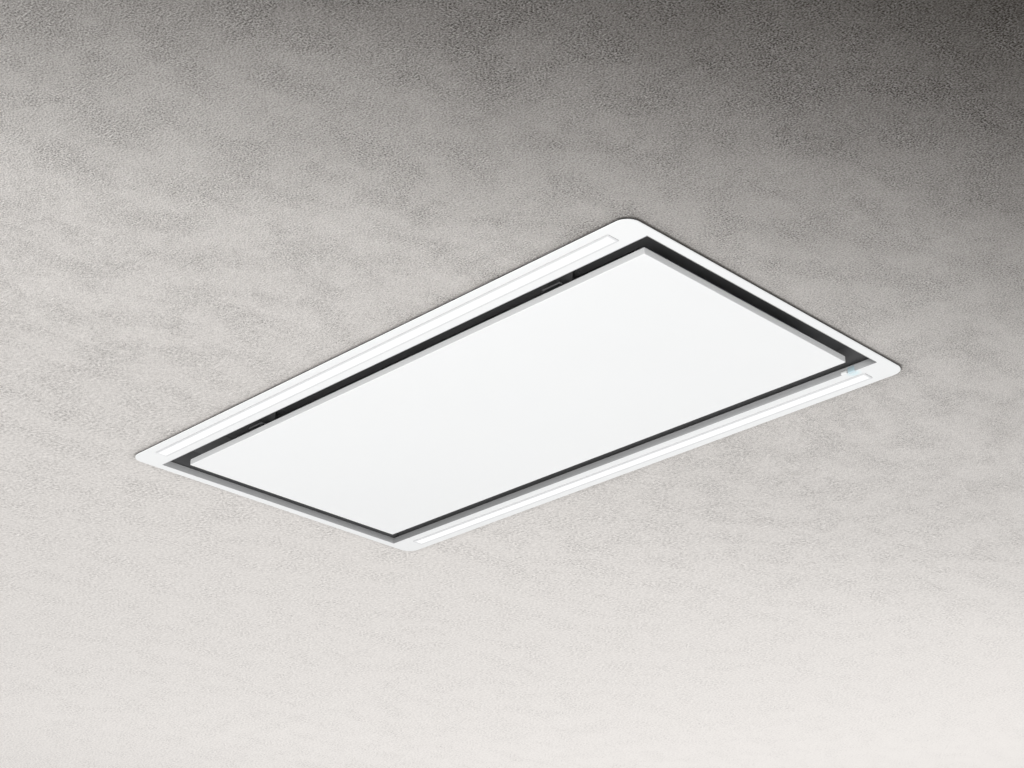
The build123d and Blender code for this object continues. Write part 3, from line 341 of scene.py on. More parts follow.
finish(
    "aluminium", (0.80, 0.81, 0.82), (0.66, 0.67, 0.68), (0.26, 0.4), ("drawn_grain", {"Lines": 1400.0}),
    0.00002, metallic=1.0, rub=((0.92, 0.92, 0.92), 0.0006, 0.7),
)
finish(
    "mesh", (0.76, 0.77, 0.78), (0.55, 0.56, 0.57), (0.3, 0.5), ("drawn_grain", {"Lines": 2600.0}),
    0.00002, metallic=1.0,
)
finish(
    "white_plastic", (0.86, 0.86, 0.85), (0.80, 0.80, 0.79), (0.35, 0.5), moulded, 0.00003,
)
finish(
    "black_plastic", (0.035, 0.035, 0.037), (0.055, 0.055, 0.058), (0.4, 0.6), moulded, 0.00005,
)
finish(
    "grey_plastic", (0.34, 0.35, 0.36), (0.28, 0.29, 0.30), (0.38, 0.55), moulded, 0.00005,
    rub=((0.45, 0.46, 0.47), 0.0007, 0.6), dust=0.2,
)
finish(
    "board_green", (0.03, 0.2, 0.1), (0.02, 0.13, 0.07), (0.25, 0.4), ("drawn_grain", {"Lines": 500.0}),
    0.00003,
)
finish(
    "board_white", (0.85, 0.85, 0.82), (0.75, 0.75, 0.73), (0.3, 0.45), moulded, 0.00002,
)
finish(
    "spring_steel", (0.6, 0.6, 0.62), (0.42, 0.42, 0.46), (0.16, 0.3), plated, 0.00001, metallic=1.0,
)
finish(
    "magnet", (0.32, 0.32, 0.33), (0.25, 0.25, 0.26), (0.34, 0.48), plated, 0.00001, metallic=1.0,
    rub=((0.4, 0.4, 0.4), 0.0006, 0.6),
)
finish(
    "bronze", (0.55, 0.38, 0.2), (0.38, 0.25, 0.12), (0.35, 0.5), plated, 0.00002, metallic=1.0,
)
finish(
    "motor_paint", (0.03, 0.03, 0.035), (0.05, 0.05, 0.055), (0.3, 0.45), paint, 0.00006,
    rub=((0.3, 0.3, 0.3), 0.0008, 0.7), dust=0.3,
)
finish(
    "rubber", (0.03, 0.03, 0.03), (0.045, 0.045, 0.045), (0.65, 0.8), moulded, 0.00006,
)
finish(
    "cream_plastic", (0.78, 0.74, 0.62), (0.7, 0.66, 0.55), (0.3, 0.45), moulded, 0.00003,
)


def lit_opal():
    """Opal cover over the light board: bright along its middle, with a painted grey shadow line round it.
    """
    material, tree, shader = blank("opal")
    place = coordinates(tree)[1]
    out = maths(tree, "ABSOLUTE", place["Y"])
    off_middle = maths(tree, "ABSOLUTE", maths(tree, "SUBTRACT", out, LIGHT_Y))
    in_side = maths(tree, "SUBTRACT", LIGHT_HALF_W, off_middle)
    in_end = maths(tree, "SUBTRACT", LIGHT_HALF_L, maths(tree, "ABSOLUTE", place["X"]))
    inside = maths(tree, "MINIMUM", in_side, in_end)
    glow = ramp(tree, inside, 1.5 * MM, 6.5 * MM)
    # Painted shade: near its edges the cover's base colour turns grey, for the shadow line round it.
    rim = ramp(tree, inside, -0.1 * MM, 4.5 * MM)
    tree.links.new(blend(tree, (0.0, 0.0, 0.0), (1.0, 0.995, 0.98), glow), shader.inputs["Emission Color"])
    shader.inputs["Emission Strength"].default_value = 0.3
    look = effect(tree, "moulded_skin", Grain=1600.0)
    body = blend(tree, (0.82, 0.82, 0.82), (0.80, 0.80, 0.80), look["Tone"])
    tree.links.new(blend(tree, (0.66, 0.66, 0.66), body, rim), shader.inputs["Base Color"])
    tree.links.new(ramp(tree, look["Gloss"], 0, 1, 0.3, 0.4), shader.inputs["Roughness"])
    return material


def status_light():
    """Clear light guide: cyan, brightest at the corner it wraps round and fading both ways."""
    material, tree, shader = blank("status_clear")
    place = coordinates(tree)[1]
    up = ramp(tree, maths(tree, "SUBTRACT", place["Z"], FACE_Z), 0.0, 6 * MM)
    out = ramp(tree, maths(tree, "SUBTRACT", place["Y"], OPEN_Y), 2 * MM, 8 * MM)
    glow = blend(tree, (0.03, 0.08, 0.10), (0.0, 0.02, 0.03), up)
    tree.links.new(blend(tree, glow, (0.0, 0.0, 0.0), out), shader.inputs["Emission Color"])
    shader.inputs["Emission Strength"].default_value = 1.0
    body = blend(tree, (0.56, 0.65, 0.68), (0.37, 0.43, 0.45), up)
    tree.links.new(blend(tree, body, (0.84, 0.86, 0.86), out), shader.inputs["Base Color"])
    look = effect(tree, "moulded_skin", Grain=900.0)
    tree.links.new(ramp(tree, look["Gloss"], 0, 1, 0.1, 0.2), shader.inputs["Roughness"])
    return material


FINISHES["opal"] = lit_opal()
FINISHES["status_clear"] = status_light()


# ---- carried-over parts ----

WELD_GAP = 0.01 * MM
FLAT_ANGLE = radians(0.5)
SOFT_EDGE = 0.25 * MM
CORNER_ANGLE = radians(35)
PLAIN_EDGES = (
    "impeller", "light_boards", "scroll_wrap", "flap_front", "flap_back", "hinge_pins", "return_frame"
)


def dress(node, slot):
    """Gives a carried-over part its finish, welds its facets and softens its corners."""
    part = frame["nodes"][node]
    part.data.materials.clear()
    part.data.materials.append(FINISHES[slot])
    part.modifiers.new("weld", "WELD").merge_threshold = WELD_GAP
    if node not in PLAIN_EDGES:
        flat = part.modifiers.new("flat", "DECIMATE")
        flat.decimate_type = "DISSOLVE"
        flat.angle_limit = FLAT_ANGLE
        soft = part.modifiers.new("soft", "BEVEL")
        soft.width = SOFT_EDGE
        soft.segments = 2
        soft.limit_method = "ANGLE"
        soft.angle_limit = CORNER_ANGLE
        soft.use_clamp_overlap = True
    shade = part.modifiers.new("shade", "WEIGHTED_NORMAL")
    shade.keep_sharp = False
    shade.weight = 80


for subpart in frame["record"]["subparts"]:
    dress(subpart["node"], subpart["material_slot"])


# ---- pieces ----


def piece(name, mesh, body, slot):
    """A finished mesh as a piece of the object that rides on a body."""
    made = bpy.data.objects.new(name, mesh)
    bpy.context.scene.collection.objects.link(made)
    mesh.materials.append(FINISHES[slot])
    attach(made, body)
    return made


def to_mesh(shape, name):
    """A bmesh turned into a mesh."""
    mesh = bpy.data.meshes.new(name)
    shape.to_mesh(mesh)
    shape.free()
    return mesh


SUNK = -0.02 * MM
SAME = 0.0001 * MM
TURN_SEED = 1


def lathe(shape, profile, sides):
    """Turns a profile of (radius, height) about Z, closed at a radius of 0."""
    rings = []
    for radius, height in profile:
        if radius == 0:
            rings.append([shape.verts.new((0, 0, height))])
            continue
        turns = [tau * step / sides for step in range(sides)]
        rings.append([shape.verts.new((radius * cos(a), radius * sin(a), height)) for a in turns])
    for low, high in zip(rings, rings[1:]):
        for step in range(sides):
            after = (step + 1) % sides
            corners = [ring[turn % len(ring)] for ring, turn in (
                (low, step), (low, after), (high, after), (high, step)
            )]
            shape.faces.new(dict.fromkeys(corners))


def at_height(vertex, height):
    """Whether a corner lies at a height."""
    return abs(vertex.co.z - height) < SAME


def cross_recess(shape, radius, top, depth):
    """The flat top of a screw head with a cross driven into it, inside a ring of corners."""
    arm = radius * 0.62
    slim = radius * 0.17
    outline = []
    for turn in range(4):
        spin = Matrix.Rotation(turn * pi / 2, 3, "Z")
        outline += [spin @ Vector(p) for p in ((slim, slim, top), (arm, slim, top), (arm, -slim, top))]
    outline = outline[::-1]
    upper = [shape.verts.new(p) for p in outline]
    lower = [shape.verts.new((p[0] * 0.8, p[1] * 0.8, top - depth)) for p in outline]
    count = len(upper)
    for step in range(count):
        after = (step + 1) % count
        shape.faces.new((upper[step], upper[after], lower[after], lower[step]))
    shape.faces.new(lower[::-1])
    rim = [v for v in shape.verts if at_height(v, top) and v not in upper]
    edges = {e for v in upper + rim for e in v.link_edges if all(at_height(w, top) for w in e.verts)}
    bmesh.ops.triangle_fill(shape, edges=list(edges), use_beauty=True)


def screw(radius):
    """A pan head with a cross recess, its closed foot a hair below z = 0."""
    shape = bmesh.new()
    high = radius * 0.62
    flat = radius * 0.8
    side = [(radius, high * 0.35), (radius * 0.93, high * 0.7), (flat, high)]
    lathe(shape, [(0, SUNK), (radius, SUNK), *side], 20)
    cross_recess(shape, flat, high, high * 0.7)
    return shape


def rivet(radius):
    """A low domed rivet head, its closed foot a hair below z = 0."""
    shape = bmesh.new()
    dome = [(radius * 0.97, radius * 0.16), (radius * 0.72, radius * 0.42), (radius * 0.34, radius * 0.5)]
    lathe(shape, [(0, SUNK), (radius, SUNK), *dome, (0, radius * 0.52)], 16)
    return shape


def weld_spot(radius):
    """The shallow ring that a spot weld leaves, its closed foot a hair below z = 0."""
    shape = bmesh.new()
    ring = [(radius * 0.85, 0.12 * MM), (radius * 0.6, 0.03 * MM), (0, 0.02 * MM)]
    lathe(shape, [(0, SUNK), (radius, SUNK), *ring], 16)
    return shape


def strewn(name, head, spots, body, slot):
    """One piece of many alike heads: spots are (point, outward direction), turned at random."""
    turn = Random(TURN_SEED)
    bmesh.ops.recalc_face_normals(head, faces=head.faces)
    source = to_mesh(head, name + "_head")
    joined = bmesh.new()
    for point, outward in spots:
        stand = Vector(outward).to_track_quat("Z", "Y").to_matrix().to_4x4()
        spin = Matrix.Rotation(turn.uniform(0, tau), 4, "Z")
        start = len(joined.verts)
        joined.from_mesh(source)
        joined.verts.ensure_lookup_table()
        bmesh.ops.transform(
            joined, matrix=Matrix.Translation(point) @ stand @ spin, verts=joined.verts[start:]
        )
    mesh = to_mesh(joined, name)
    bpy.data.meshes.remove(source)
    mesh.polygons.foreach_set("use_smooth", [True] * len(mesh.polygons))
    made = piece(name, mesh, body, slot)
    made.modifiers.new("shade", "WEIGHTED_NORMAL").keep_sharp = False


def steps(low, high, count):
    """Evenly spaced places from low to high."""
    return [low + (high - low) * step / (count - 1) for step in range(count)]


def around(radius, first, count):
    """Places evenly round a circle, from a first angle in degrees."""
    turns = [radians(first + 360 / count * step) for step in range(count)]
    return [(radius * cos(a), radius * sin(a)) for a in turns]


UP = (0, 0, 1)
DOWN = (0, 0, -1)
SIDES = (-1, 1)

# Radii of the heads.
CASING_SCREW = 4.5 * MM
PLATE_SCREW = 2.6 * MM
COVER_SCREW = 3 * MM
SPIDER_SCREW = 4 * MM
DECK_RIVET = 3.2 * MM
RAIL_RIVET = 3.6 * MM
BRACKET_RIVET = 2.6 * MM
SMALL_RIVET = 2.4 * MM
WELD_SPOT = 3.2 * MM

# Rows of heads: the first place, the last and how many.
CASING_CORNER_ROW = (75 * MM, 285 * MM, 5)
CASING_END_ROW = (-0.23, 0.23, 6)
CASING_LONG_ROW = (-0.45, 0.45, 11)
DECK_LONG_ROW = (-0.44, 0.44, 9)
DECK_END_ROW = (-0.2, 0.2, 5)
RAIL_ROW = (-0.225, 0.225, 6)
WELD_ROW = (-0.165, 0.165, 8)

# Where the pieces stand that the heads sit on.
DECK_LINE_Z = 52 * MM
RAIL_X = 0.38
RAIL_CLEAR = 30 * MM
RAIL_FOOT = 28 * MM
RAIL_T = 2 * MM
COLLAR_SCREW_R = 85 * MM
COLLAR_T = 3 * MM
HINGE_X = 0.34
HINGE_Y = 0.19
HINGE_FOOT_Z = 42 * MM
ARM_RIVET_Y = (0.153, 0.181)
ARM_T = 2 * MM
CATCH_X = 0.30
CATCH_Y = -0.172
CATCH_FOOT_Z = 42.5 * MM
STIFFENER_X = 0.15
STIFFENER_T = 1 * MM
MOTOR_Y = 48.832 * MM
MOTOR_Z = 175 * MM
SPIDER_R = 0.09


def casing_screws():
    """Screws down the casing's corners and round its top, clear of the rails."""
    end_edge = CASE_X - 6 * MM
    long_edge = CASE_Y - 7 * MM
    spots = []
    for side in SIDES:
        for z in steps(*CASING_CORNER_ROW):
            for end in SIDES:
                spots.append(((end * end_edge, side * CASE_Y, z), (0, side, 0)))
        for y in steps(*CASING_END_ROW):
            spots.append(((side * end_edge, y, CASE_TOP), UP))
        for x in steps(*CASING_LONG_ROW):
            if abs(abs(x) - RAIL_X) > RAIL_CLEAR:
                spots.append(((x, side * long_edge, CASE_TOP), UP))
    strewn("casing_screws", screw(CASING_SCREW), spots, "hood", "bracket_steel")


def deck_rivets():
    """Rivets through the casing into the filter deck's folded edge."""
    spots = []
    for side in SIDES:
        for x in steps(*DECK_LONG_ROW):
            spots.append(((x, side * CASE_Y, DECK_LINE_Z), (0, side, 0)))
        for y in steps(*DECK_END_ROW):
            spots.append(((side * CASE_X, y, DECK_LINE_Z), (side, 0, 0)))
    strewn("deck_rivets", rivet(DECK_RIVET), spots, "hood", "bracket_steel")


def rail_rivets():
    """Rivets along both feet of each hanger rail."""
    spots = [
        ((rail * RAIL_X + foot * RAIL_FOOT, y, CASE_TOP + RAIL_T), UP)
        for rail in SIDES for foot in SIDES for y in steps(*RAIL_ROW)
    ]
    strewn("rail_rivets", rivet(RAIL_RIVET), spots, "hood", "bracket_steel")


def collar_screws():
    """Screws round the duct collar's flange."""
    spots = [((x, y, CASE_TOP + COLLAR_T), UP) for x, y in around(COLLAR_SCREW_R, 30, 6)]
    strewn("collar_screws", screw(CASING_SCREW), spots, "hood", "bracket_steel")


def cable_plate_screws():
    """A screw in each corner of the plate that carries the cable gland."""
    low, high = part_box("cable_plate")
    inset = 7 * MM
    spots = [
        ((x, y, high.z), UP)
        for x in (low.x + inset, high.x - inset) for y in (low.y + inset, high.y - inset)
    ]
    strewn("cable_plate_screws", screw(PLATE_SCREW), spots, "hood", "bracket_steel")


def control_cover_screws():
    """A screw in each corner of the control box's cover."""
    low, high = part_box("control_cover")
    inset = 9 * MM
    spots = [
        ((low.x, y, z), (-1, 0, 0))
        for y in (low.y + inset, high.y - inset) for z in (low.z + inset, high.z - inset)
    ]
    strewn("control_cover_screws", screw(COVER_SCREW), spots, "hood", "bracket_steel")


def bracket_rivets():
    """Rivets that hold the hinge and catch brackets under the deck."""
    spots = []
    for side in SIDES:
        for x in (-19 * MM, 19 * MM):
            for y in (-9 * MM, 9 * MM):
                spots.append(((side * HINGE_X + x, HINGE_Y + y, HINGE_FOOT_Z), DOWN))
        for x in (-8 * MM, 8 * MM):
            spots.append(((side * CATCH_X + x, CATCH_Y, CATCH_FOOT_Z), DOWN))
    strewn("bracket_rivets", rivet(BRACKET_RIVET), spots, "hood", "black_paint")


def arm_rivets():
    """Rivets that hold the hinge arms to the panel."""
    arm_top = span("hinge_arms", 2)[0] + ARM_T
    spots = [
        ((side * HINGE_X + x, y, arm_top), UP)
        for side in SIDES for x in (-15 * MM, 15 * MM) for y in ARM_RIVET_Y
    ]
    strewn("arm_rivets", rivet(SMALL_RIVET), spots, "panel", "bracket_steel")


def stiffener_welds():
    """Spot welds along both feet of each stiffener inside the panel."""
    foot_top = span("panel_stiffeners", 2)[0] + STIFFENER_T
    spots = [
        ((side * STIFFENER_X + x, y, foot_top), UP)
        for side in SIDES for x in (-17 * MM, 17 * MM) for y in steps(*WELD_ROW)
    ]
    strewn("stiffener_welds", weld_spot(WELD_SPOT), spots, "panel", "panel_paint")


def filter_rivets():
    """A rivet in each corner of each filter's frame."""
    inset = 6 * MM
    spots = []
    for name in ("left", "right"):
        low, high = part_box(f"filter_frame_{name}")
        for x in (low.x + inset, high.x - inset):
            for y in (low.y + inset, high.y - inset - TAB_REACH):
                spots.append(((x, y, low.z), DOWN))
    strewn("filter_rivets", rivet(SMALL_RIVET), spots, "hood", "aluminium")


def spider_screws():
    """Screws through the three arms that hold the motor."""
    face = span("motor_spider", 0)[0]
    spots = [((face, MOTOR_Y + y, MOTOR_Z + z), (-1, 0, 0)) for y, z in around(SPIDER_R, 90, 3)]
    strewn("spider_screws", screw(SPIDER_SCREW), spots, "hood", "bracket_steel")


casing_screws()
deck_rivets()
rail_rivets()
collar_screws()
cable_plate_screws()
control_cover_screws()
bracket_rivets()
arm_rivets()
stiffener_welds()
filter_rivets()
spider_screws()


# ---- filter mesh ----

MESH_LONG = 11 * MM
MESH_WIDE = 5.5 * MM
MESH_STRAND = 0.30
MESH_T = 0.5 * MM
MESH_RISE = 0.5 * MM
FACE_Z_IN_PAD = 0.1 * MM
PLEAT = 16 * MM
PLEAT_LOW = 1.6 * MM
PLEAT_HIGH = 7 * MM


def diamond(shape, centre, height):
    """One diamond of expanded metal: four strands between its outline and its hole."""
    x, y = centre
    long = MESH_LONG / 2
    wide = MESH_WIDE / 2
    corners = ((long, 0, 1), (0, wide, 0), (-long, 0, 1), (0, -wide, 0))
    outer = [shape.verts.new((x + a, y + b, height(x + a) + lift * MESH_RISE)) for a, b, lift in corners]
    keep = 1 - MESH_STRAND
    inner = [
        shape.verts.new((x + a * keep, y + b * keep, height(x + a * keep) + lift * MESH_RISE))
        for a, b, lift in corners
    ]
    for step in range(4):
        after = (step + 1) % 4
        shape.faces.new((outer[step], outer[after], inner[after], inner[step]))


def expanded_sheet(name, centre, half, notch, height):
    """A sheet of expanded aluminium that follows a height, with a notch for the latch cup."""
    shape = bmesh.new()
    columns = int(2 * half.x / MESH_LONG)
    rows = int(2 * half.y / MESH_WIDE)
    for row in range(2 * rows - 1):
        shift = row % 2
        y = (row - rows + 1) * MESH_WIDE / 2
        for column in range(columns - shift):
            x = (column - (columns - 1 - shift) / 2) * MESH_LONG
            if abs(x) < notch.x and y < notch.y:
                continue
            diamond(shape, (x, y), height)
    bmesh.ops.remove_doubles(shape, verts=shape.verts, dist=WELD_GAP)
    bmesh.ops.translate(shape, vec=centre, verts=shape.verts)
    made = piece(name, to_mesh(shape, name), "hood", "mesh")
    thick = made.modifiers.new("thick", "SOLIDIFY")
    thick.thickness = MESH_T
    thick.offset = 1.0
    return made


def filter_mesh(name):
    """Two layers in a filter: a flat face sheet and, behind it, a pleated one."""
    low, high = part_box(f"mesh_pad_{name}")
    cup_low, cup_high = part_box(f"latch_cup_{name}")
    frame_low, frame_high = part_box(f"filter_frame_{name}")
    centre = Vector(((frame_low.x + frame_high.x) / 2, (low.y + high.y) / 2, low.z))
    half = (Vector(high) - Vector(low)) / 2 - Vector((0.5, 0.5, 0)) * MM
    reach = Vector(((cup_high.x - cup_low.x) / 2 + 5 * MM, cup_high.y - centre.y + 4 * MM))

    def flat(x):
        return FACE_Z_IN_PAD

    def pleated(x):
        return PLEAT_LOW + PLEAT_HIGH * abs(2 * ((x / PLEAT) % 1) - 1)

    expanded_sheet(f"face_mesh_{name}", centre, half, reach, flat)
    back = expanded_sheet(f"pleated_mesh_{name}", centre, half, reach, pleated)
    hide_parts(f"mesh_pad_{name}")


filter_mesh("left")
filter_mesh("right")


# ---- stage: ceiling, floor, world, lamps and camera ----

ROOM = 4.0
CEILING_Z = 0.02 * MM
CUT_X = 492 * MM
CUT_Y = 277 * MM
FLOOR_Z = -0.42
FLOOR_HALF = 60.0
CORNER_R = 20 * MM
CORNER_X = 480 * MM
CORNER_Y = 265 * MM


def carries_light(tree):
    """1 for the rays that bring the lamps' light, 0 for sight."""
    path = put(tree, "LightPath").outputs
    return maths(tree, "MAXIMUM", path["Is Diffuse Ray"], path["Is Shadow Ray"])


def let_through(tree, shader, passed):
    """Makes a surface clear to the rays for which passed is 1."""
    clear = put(tree, "BsdfTransparent")
    mixed = put(tree, "MixShader", {0: passed, 1: shader.outputs[0], 2: clear.outputs[0]})
    tree.links.new(mixed.outputs[0], tree.nodes["Material Output"].inputs["Surface"])


def surface(shape, name, material):
    """A bare surface of the room as an object."""
    mesh = to_mesh(shape, name)
    mesh.materials.append(material)
    made = bpy.data.objects.new(name, mesh)
    bpy.context.scene.collection.objects.link(made)
    return made


def frame_shadow(tree, place):
    """Darkening of the plaster close to the frame: 1 away from it."""
    past_x = maths(tree, "SUBTRACT", maths(tree, "ABSOLUTE", place["X"]), CORNER_X)
    past_y = maths(tree, "SUBTRACT", maths(tree, "ABSOLUTE", place["Y"]), CORNER_Y)
    past_x = maths(tree, "MAXIMUM", past_x, 0.0)
    past_y = maths(tree, "MAXIMUM", past_y, 0.0)
    square = maths(tree, "MULTIPLY_ADD", past_x, past_x, maths(tree, "MULTIPLY", past_y, past_y))
    away = maths(tree, "SUBTRACT", maths(tree, "SQRT", square), CORNER_R)
    depth = ramp(tree, place["X"], 470 * MM, 500 * MM, 0.42, 0.75)
    tight = ramp(tree, away, 0.0, 4 * MM, 1.0, 0.0)
    tight = maths(tree, "SUBTRACT", 1.0, maths(tree, "MULTIPLY", depth, tight))
    wide = ramp(tree, away, 0.0, 18 * MM, 0.83, 1.0)
    return maths(tree, "MULTIPLY", tight, wide)


def slope(tree, place, way, level=0.0):
    """A value that changes evenly over the ceiling, by so much a metre along X and along Y."""
    per_x, per_y = way
    along_x = maths(tree, "MULTIPLY_ADD", place["X"], per_x, level)
    return maths(tree, "MULTIPLY_ADD", place["Y"], per_y, along_x)


# The two ends of the plaster's tone: painted shade at its darkest, and the plaster's own pale colour.
PLASTER_DARK = (0.012, 0.006, 0.0)
PLASTER_PALE = (1.0, 0.951, 0.909)
# The way over the ceiling from its painted dark side to its light side, and the way across it.
OUT_OF_PAINTED_SHADE = (-0.99, 0.42)
ACROSS = (0.42, 0.99)
# A slight painted rise of light over the whole tone of the ceiling, and its value at the origin.
RISE = (0.026, 0.083)
RISE_MIDDLE = 1.042
# What the painted shade's tone and the grain settle to, far across on the dark side.
FAR_TONE = 0.6
FAR_RAKING = 2.0
# How pale the painted shade leaves the plaster on the way to its light side, as steps that add up.
# Each is where the step starts and ends, in metres, and its share at the start and at the end.
PAINTED_SHADE_STEPS = (
    (-1.15, -0.92, 0.07, 0.188),
    (-0.92, -0.43, 0.0, 0.381),
    (-0.43, -0.15, 0.0, 0.068),
    (-2.3, -1.2, 0.5, 0.0),
    (0.1, 2.0, 0.0, 0.205),
)
# How deep the pits look on the same way, as steps of the same kind.
RAKING_STEPS = (
    (-1.1, -0.75, 4.2, 0.0),
    (-0.9, 0.2, 2.9, 2.2),
    (0.2, 0.8, 0.0, -1.15),
)


def stepped(tree, value, table):
    """The sum of several ramps of one value."""
    total = 0.0
    for step in table:
        total = maths(tree, "ADD", total, ramp(tree, value, *step))
    return total


def plaster_pits(tree, place, along, across, past):
    """The trowelled grain: pits below 0 and lumps above it, deepest on the dark side."""
    fine = noise(tree, place, 460.0, 3.0)
    coarse = noise(tree, place, 210.0, 3.0)
    share = ramp(tree, along, -0.6, 0.8)
    grain = put(tree, "Mix", {0: share, 2: fine, 3: coarse}).outputs[0]
    lumps = ramp(tree, noise(tree, place, 62.0, 2.0), 0.2, 0.8, -0.036, 0.036)
    grain = maths(tree, "ADD", grain, lumps)
    patch = ramp(tree, noise(tree, place, 13.0, 8.0, (1.5, 1.0, 1.0)), 0.42, 0.66, 0.6, 1.15)
    raking = stepped(tree, along, RAKING_STEPS)
    raking = maths(tree, "MULTIPLY", raking, ramp(tree, across, 0.5, 1.6, 1.2, 0.8))
    raking = put(tree, "Mix", {0: past, 2: raking, 3: FAR_RAKING}).outputs[0]
    depth = maths(tree, "MULTIPLY", patch, raking)
    return maths(tree, "MULTIPLY", maths(tree, "SUBTRACT", grain, 0.5), depth)


def plaster_painted_shade(tree, along, across, past):
    """The painted pool of shade over the plaster: its tone before its grain and the frame's shadow."""
    tone = stepped(tree, along, PAINTED_SHADE_STEPS)
    lean = maths(tree, "MULTIPLY_ADD", across, ramp(tree, along, -0.4, 0.6, -0.12, 0.04), 1.0)
    tone = maths(tree, "MULTIPLY", tone, lean)
    return put(tree, "Mix", {0: past, 2: tone, 3: FAR_TONE}).outputs[0]


def plaster():
    """Rough trowelled plaster seen from below, with painted shade and light in its tone; it lets light up
    and sight down through it.
    """
    material, tree, shader = blank("ceiling_plaster")
    place, parts = coordinates(tree)
    across = slope(tree, parts, ACROSS)
    # Wavers where the painted shade and the grain's depth change over the ceiling.
    shade_waver = ramp(tree, noise(tree, place, 5.0, 6.0, (1.6, 1.0, 1.0)), 0.3, 0.7, -0.022, 0.022)
    along = maths(tree, "ADD", slope(tree, parts, OUT_OF_PAINTED_SHADE), shade_waver)
    past = ramp(tree, maths(tree, "ABSOLUTE", across), 0.85, 1.7)
    past = maths(tree, "MULTIPLY", past, ramp(tree, along, -0.75, -0.4, 1.0, 0.0))
    pits = plaster_pits(tree, place, along, across, past)
    # Painted shade: a pool of shade over the ceiling, deepest on its dark side.
    tone = plaster_painted_shade(tree, along, across, past)
    # Painted shade in the grain's pits and painted light on its lumps, besides their bump.
    tone = maths(tree, "MULTIPLY", tone, maths(tree, "MULTIPLY_ADD", pits, 0.9, 1.0), clamp=True)
    # Painted light: a slight rise of brightness over the whole ceiling.
    tone = maths(tree, "MULTIPLY", tone, slope(tree, parts, RISE, RISE_MIDDLE), clamp=True)
    tone = maths(tree, "MULTIPLY", tone, frame_shadow(tree, parts))
    tree.links.new(blend(tree, PLASTER_DARK, PLASTER_PALE, tone), shader.inputs["Base Color"])
    shader.inputs["Roughness"].default_value = 0.85
    relief = put(tree, "Bump", {"Height": pits, "Distance": 4 * MM, "Strength": 0.7})
    tree.links.new(relief.outputs[0], shader.inputs["Normal"])
    above = put(tree, "NewGeometry").outputs["Backfacing"]
    passed = maths(tree, "ABSOLUTE", maths(tree, "SUBTRACT", carries_light(tree), above))
    let_through(tree, shader, passed)
    return material


def ceiling():
    """The room's ceiling, with the cut-out that the casing goes through."""
    shape = bmesh.new()
    outer = [(-ROOM, -ROOM), (ROOM, -ROOM), (ROOM, ROOM), (-ROOM, ROOM)]
    inner = [(-CUT_X, -CUT_Y), (CUT_X, -CUT_Y), (CUT_X, CUT_Y), (-CUT_X, CUT_Y)]
    rings = [[shape.verts.new((x, y, CEILING_Z)) for x, y in ring] for ring in (outer, inner)]
    for step in range(4):
        after = (step + 1) % 4
        shape.faces.new((rings[0][step], rings[1][step], rings[1][after], rings[0][after]))
    made = surface(shape, "ceiling", plaster())


def floor():
    """The pale floor, drawn from above only, so that it's never between the hood and the camera."""
    shape = bmesh.new()
    bmesh.ops.create_grid(shape, x_segments=1, y_segments=1, size=FLOOR_HALF)
    material, tree, shader = blank("pale_floor")
    shader.inputs["Roughness"].default_value = 0.9
    place = put(tree, "TexCoord").outputs["Object"]
    colour = blend(tree, (0.80, 0.80, 0.79), (0.77, 0.77, 0.76), noise(tree, place, 1.5, 4.0))
    tree.links.new(colour, shader.inputs["Base Color"])
    below = put(tree, "NewGeometry").outputs["Backfacing"]
    let_through(tree, shader, maths(tree, "MAXIMUM", carries_light(tree), below))
    made = surface(shape, "floor", material)
    made.location.z = FLOOR_Z


SKY = (0.98, 0.99, 1.0, 1.0)
SEEN_SKY = 0.85
GLINT_WAY = (-0.31, -0.41, 0.86)


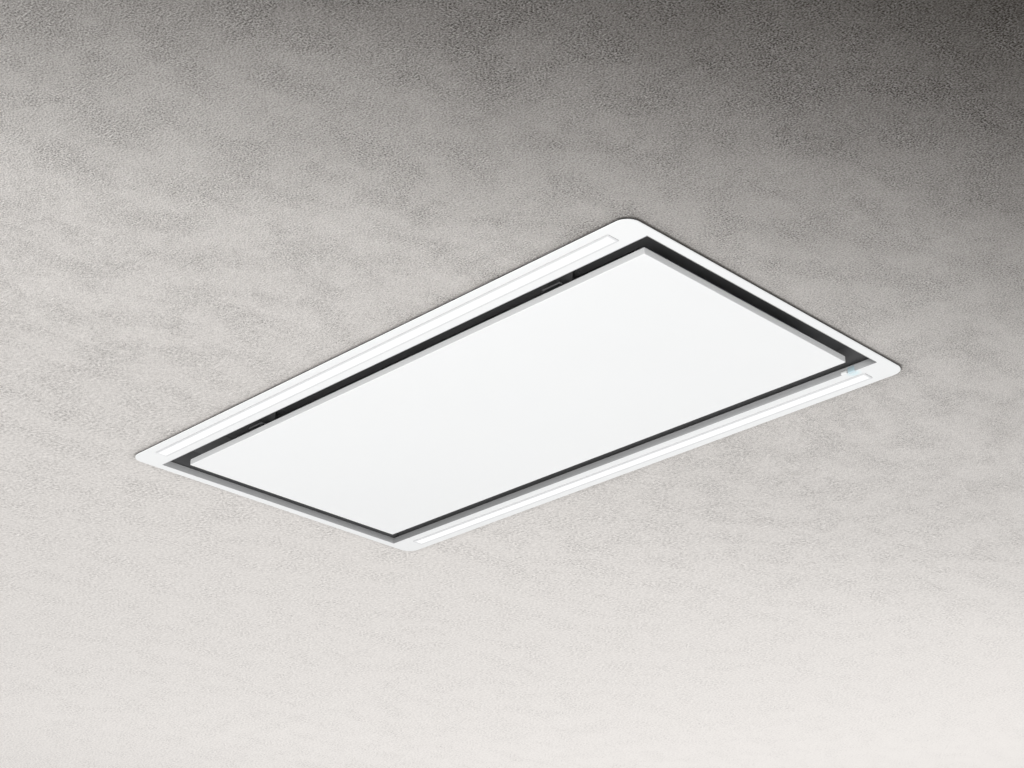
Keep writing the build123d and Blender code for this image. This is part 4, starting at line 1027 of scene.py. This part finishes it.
def world():
    """A plain pale surround: soft light from below, less from above, and a sky for the metal."""
    surround = bpy.data.worlds.new("surround")
    surround.use_nodes = True
    tree = surround.node_tree
    path = put(tree, "LightPath").outputs
    direction = put(tree, "TexCoord").outputs["Generated"]
    rise = put(tree, "SeparateXYZ", {"Vector": direction}).outputs["Z"]
    soft = ramp(tree, rise, -0.2, 0.1, 0.72, 0.36)
    mirrored = ramp(tree, rise, 0.0, 0.45, 0.45, 1.0)
    below = ramp(tree, rise, -0.3, 0.0, 1.0, 0.0)
    mirrored = maths(tree, "MULTIPLY_ADD", below, 0.4, mirrored)
    toward = put(tree, "VectorMath", {0: direction, 1: GLINT_WAY}, operation="DOT_PRODUCT")
    mirrored = maths(tree, "ADD", mirrored, ramp(tree, toward.outputs["Value"], 0.8, 0.95, 0.0, 0.6))
    seen = maths(tree, "MAXIMUM", path["Is Glossy Ray"], path["Is Transmission Ray"])
    level = put(tree, "Mix", {0: seen, 2: soft, 3: mirrored}).outputs[0]
    level = put(tree, "Mix", {0: path["Is Camera Ray"], 2: level, 3: SEEN_SKY}).outputs[0]
    background = tree.nodes["Background"]
    background.inputs["Color"].default_value = SKY
    tree.links.new(level, background.inputs["Strength"])
    bpy.context.scene.world = surround


def aim(made, place, target):
    """Stands a lamp at a place and turns it to a point."""
    made.location = place
    made.rotation_euler = (Vector(target) - Vector(place)).to_track_quat("-Z", "Y").to_euler()
    made.visible_camera = False
    made.visible_glossy = False
    bpy.context.scene.collection.objects.link(made)


def lamp(name, place, target, size, power):
    """A large soft lamp that faces a point."""
    light = bpy.data.lights.new(name, "AREA")
    light.shape = "SQUARE"
    light.size = size
    light.energy = power
    aim(bpy.data.objects.new(name, light), place, target)


def sky_lamp(name, place, strength):
    """Even light from far away with soft shadows."""
    light = bpy.data.lights.new(name, "SUN")
    light.angle = radians(30)
    light.energy = strength
    aim(bpy.data.objects.new(name, light), place, (0, 0, 0))


KEY_AT = (2.67, -4.34, -4.09)
KEY_SIZE = 2.6
KEY_POWER = 278.0
TOP_AT = (-1.3, -2.4, 3.0)
TOP_STRENGTH = 2.0
CAMERA_AT = (1.68211, -1.67021, -1.09798)
CAMERA_TARGET = (0.08871, -0.06144, -0.00258)
CAMERA_LENS = 64.06


def camera():
    """The photograph's viewpoint: below the ceiling, looking up at the hood from one corner."""
    data = bpy.data.cameras.new("camera")
    data.lens = CAMERA_LENS
    data.sensor_width = 36.0
    data.clip_start = 0.01
    made = bpy.data.objects.new("camera", data)
    made.location = CAMERA_AT
    look = Vector(CAMERA_TARGET) - Vector(CAMERA_AT)
    made.rotation_euler = look.to_track_quat("-Z", "Y").to_euler()
    bpy.context.scene.collection.objects.link(made)
    bpy.context.scene.camera = made


ceiling()
floor()
world()
lamp("key", KEY_AT, (0, 0, 0), KEY_SIZE, KEY_POWER)
sky_lamp("top", TOP_AT, TOP_STRENGTH)
camera()

scene = bpy.context.scene
scene.view_settings.view_transform = "Standard"
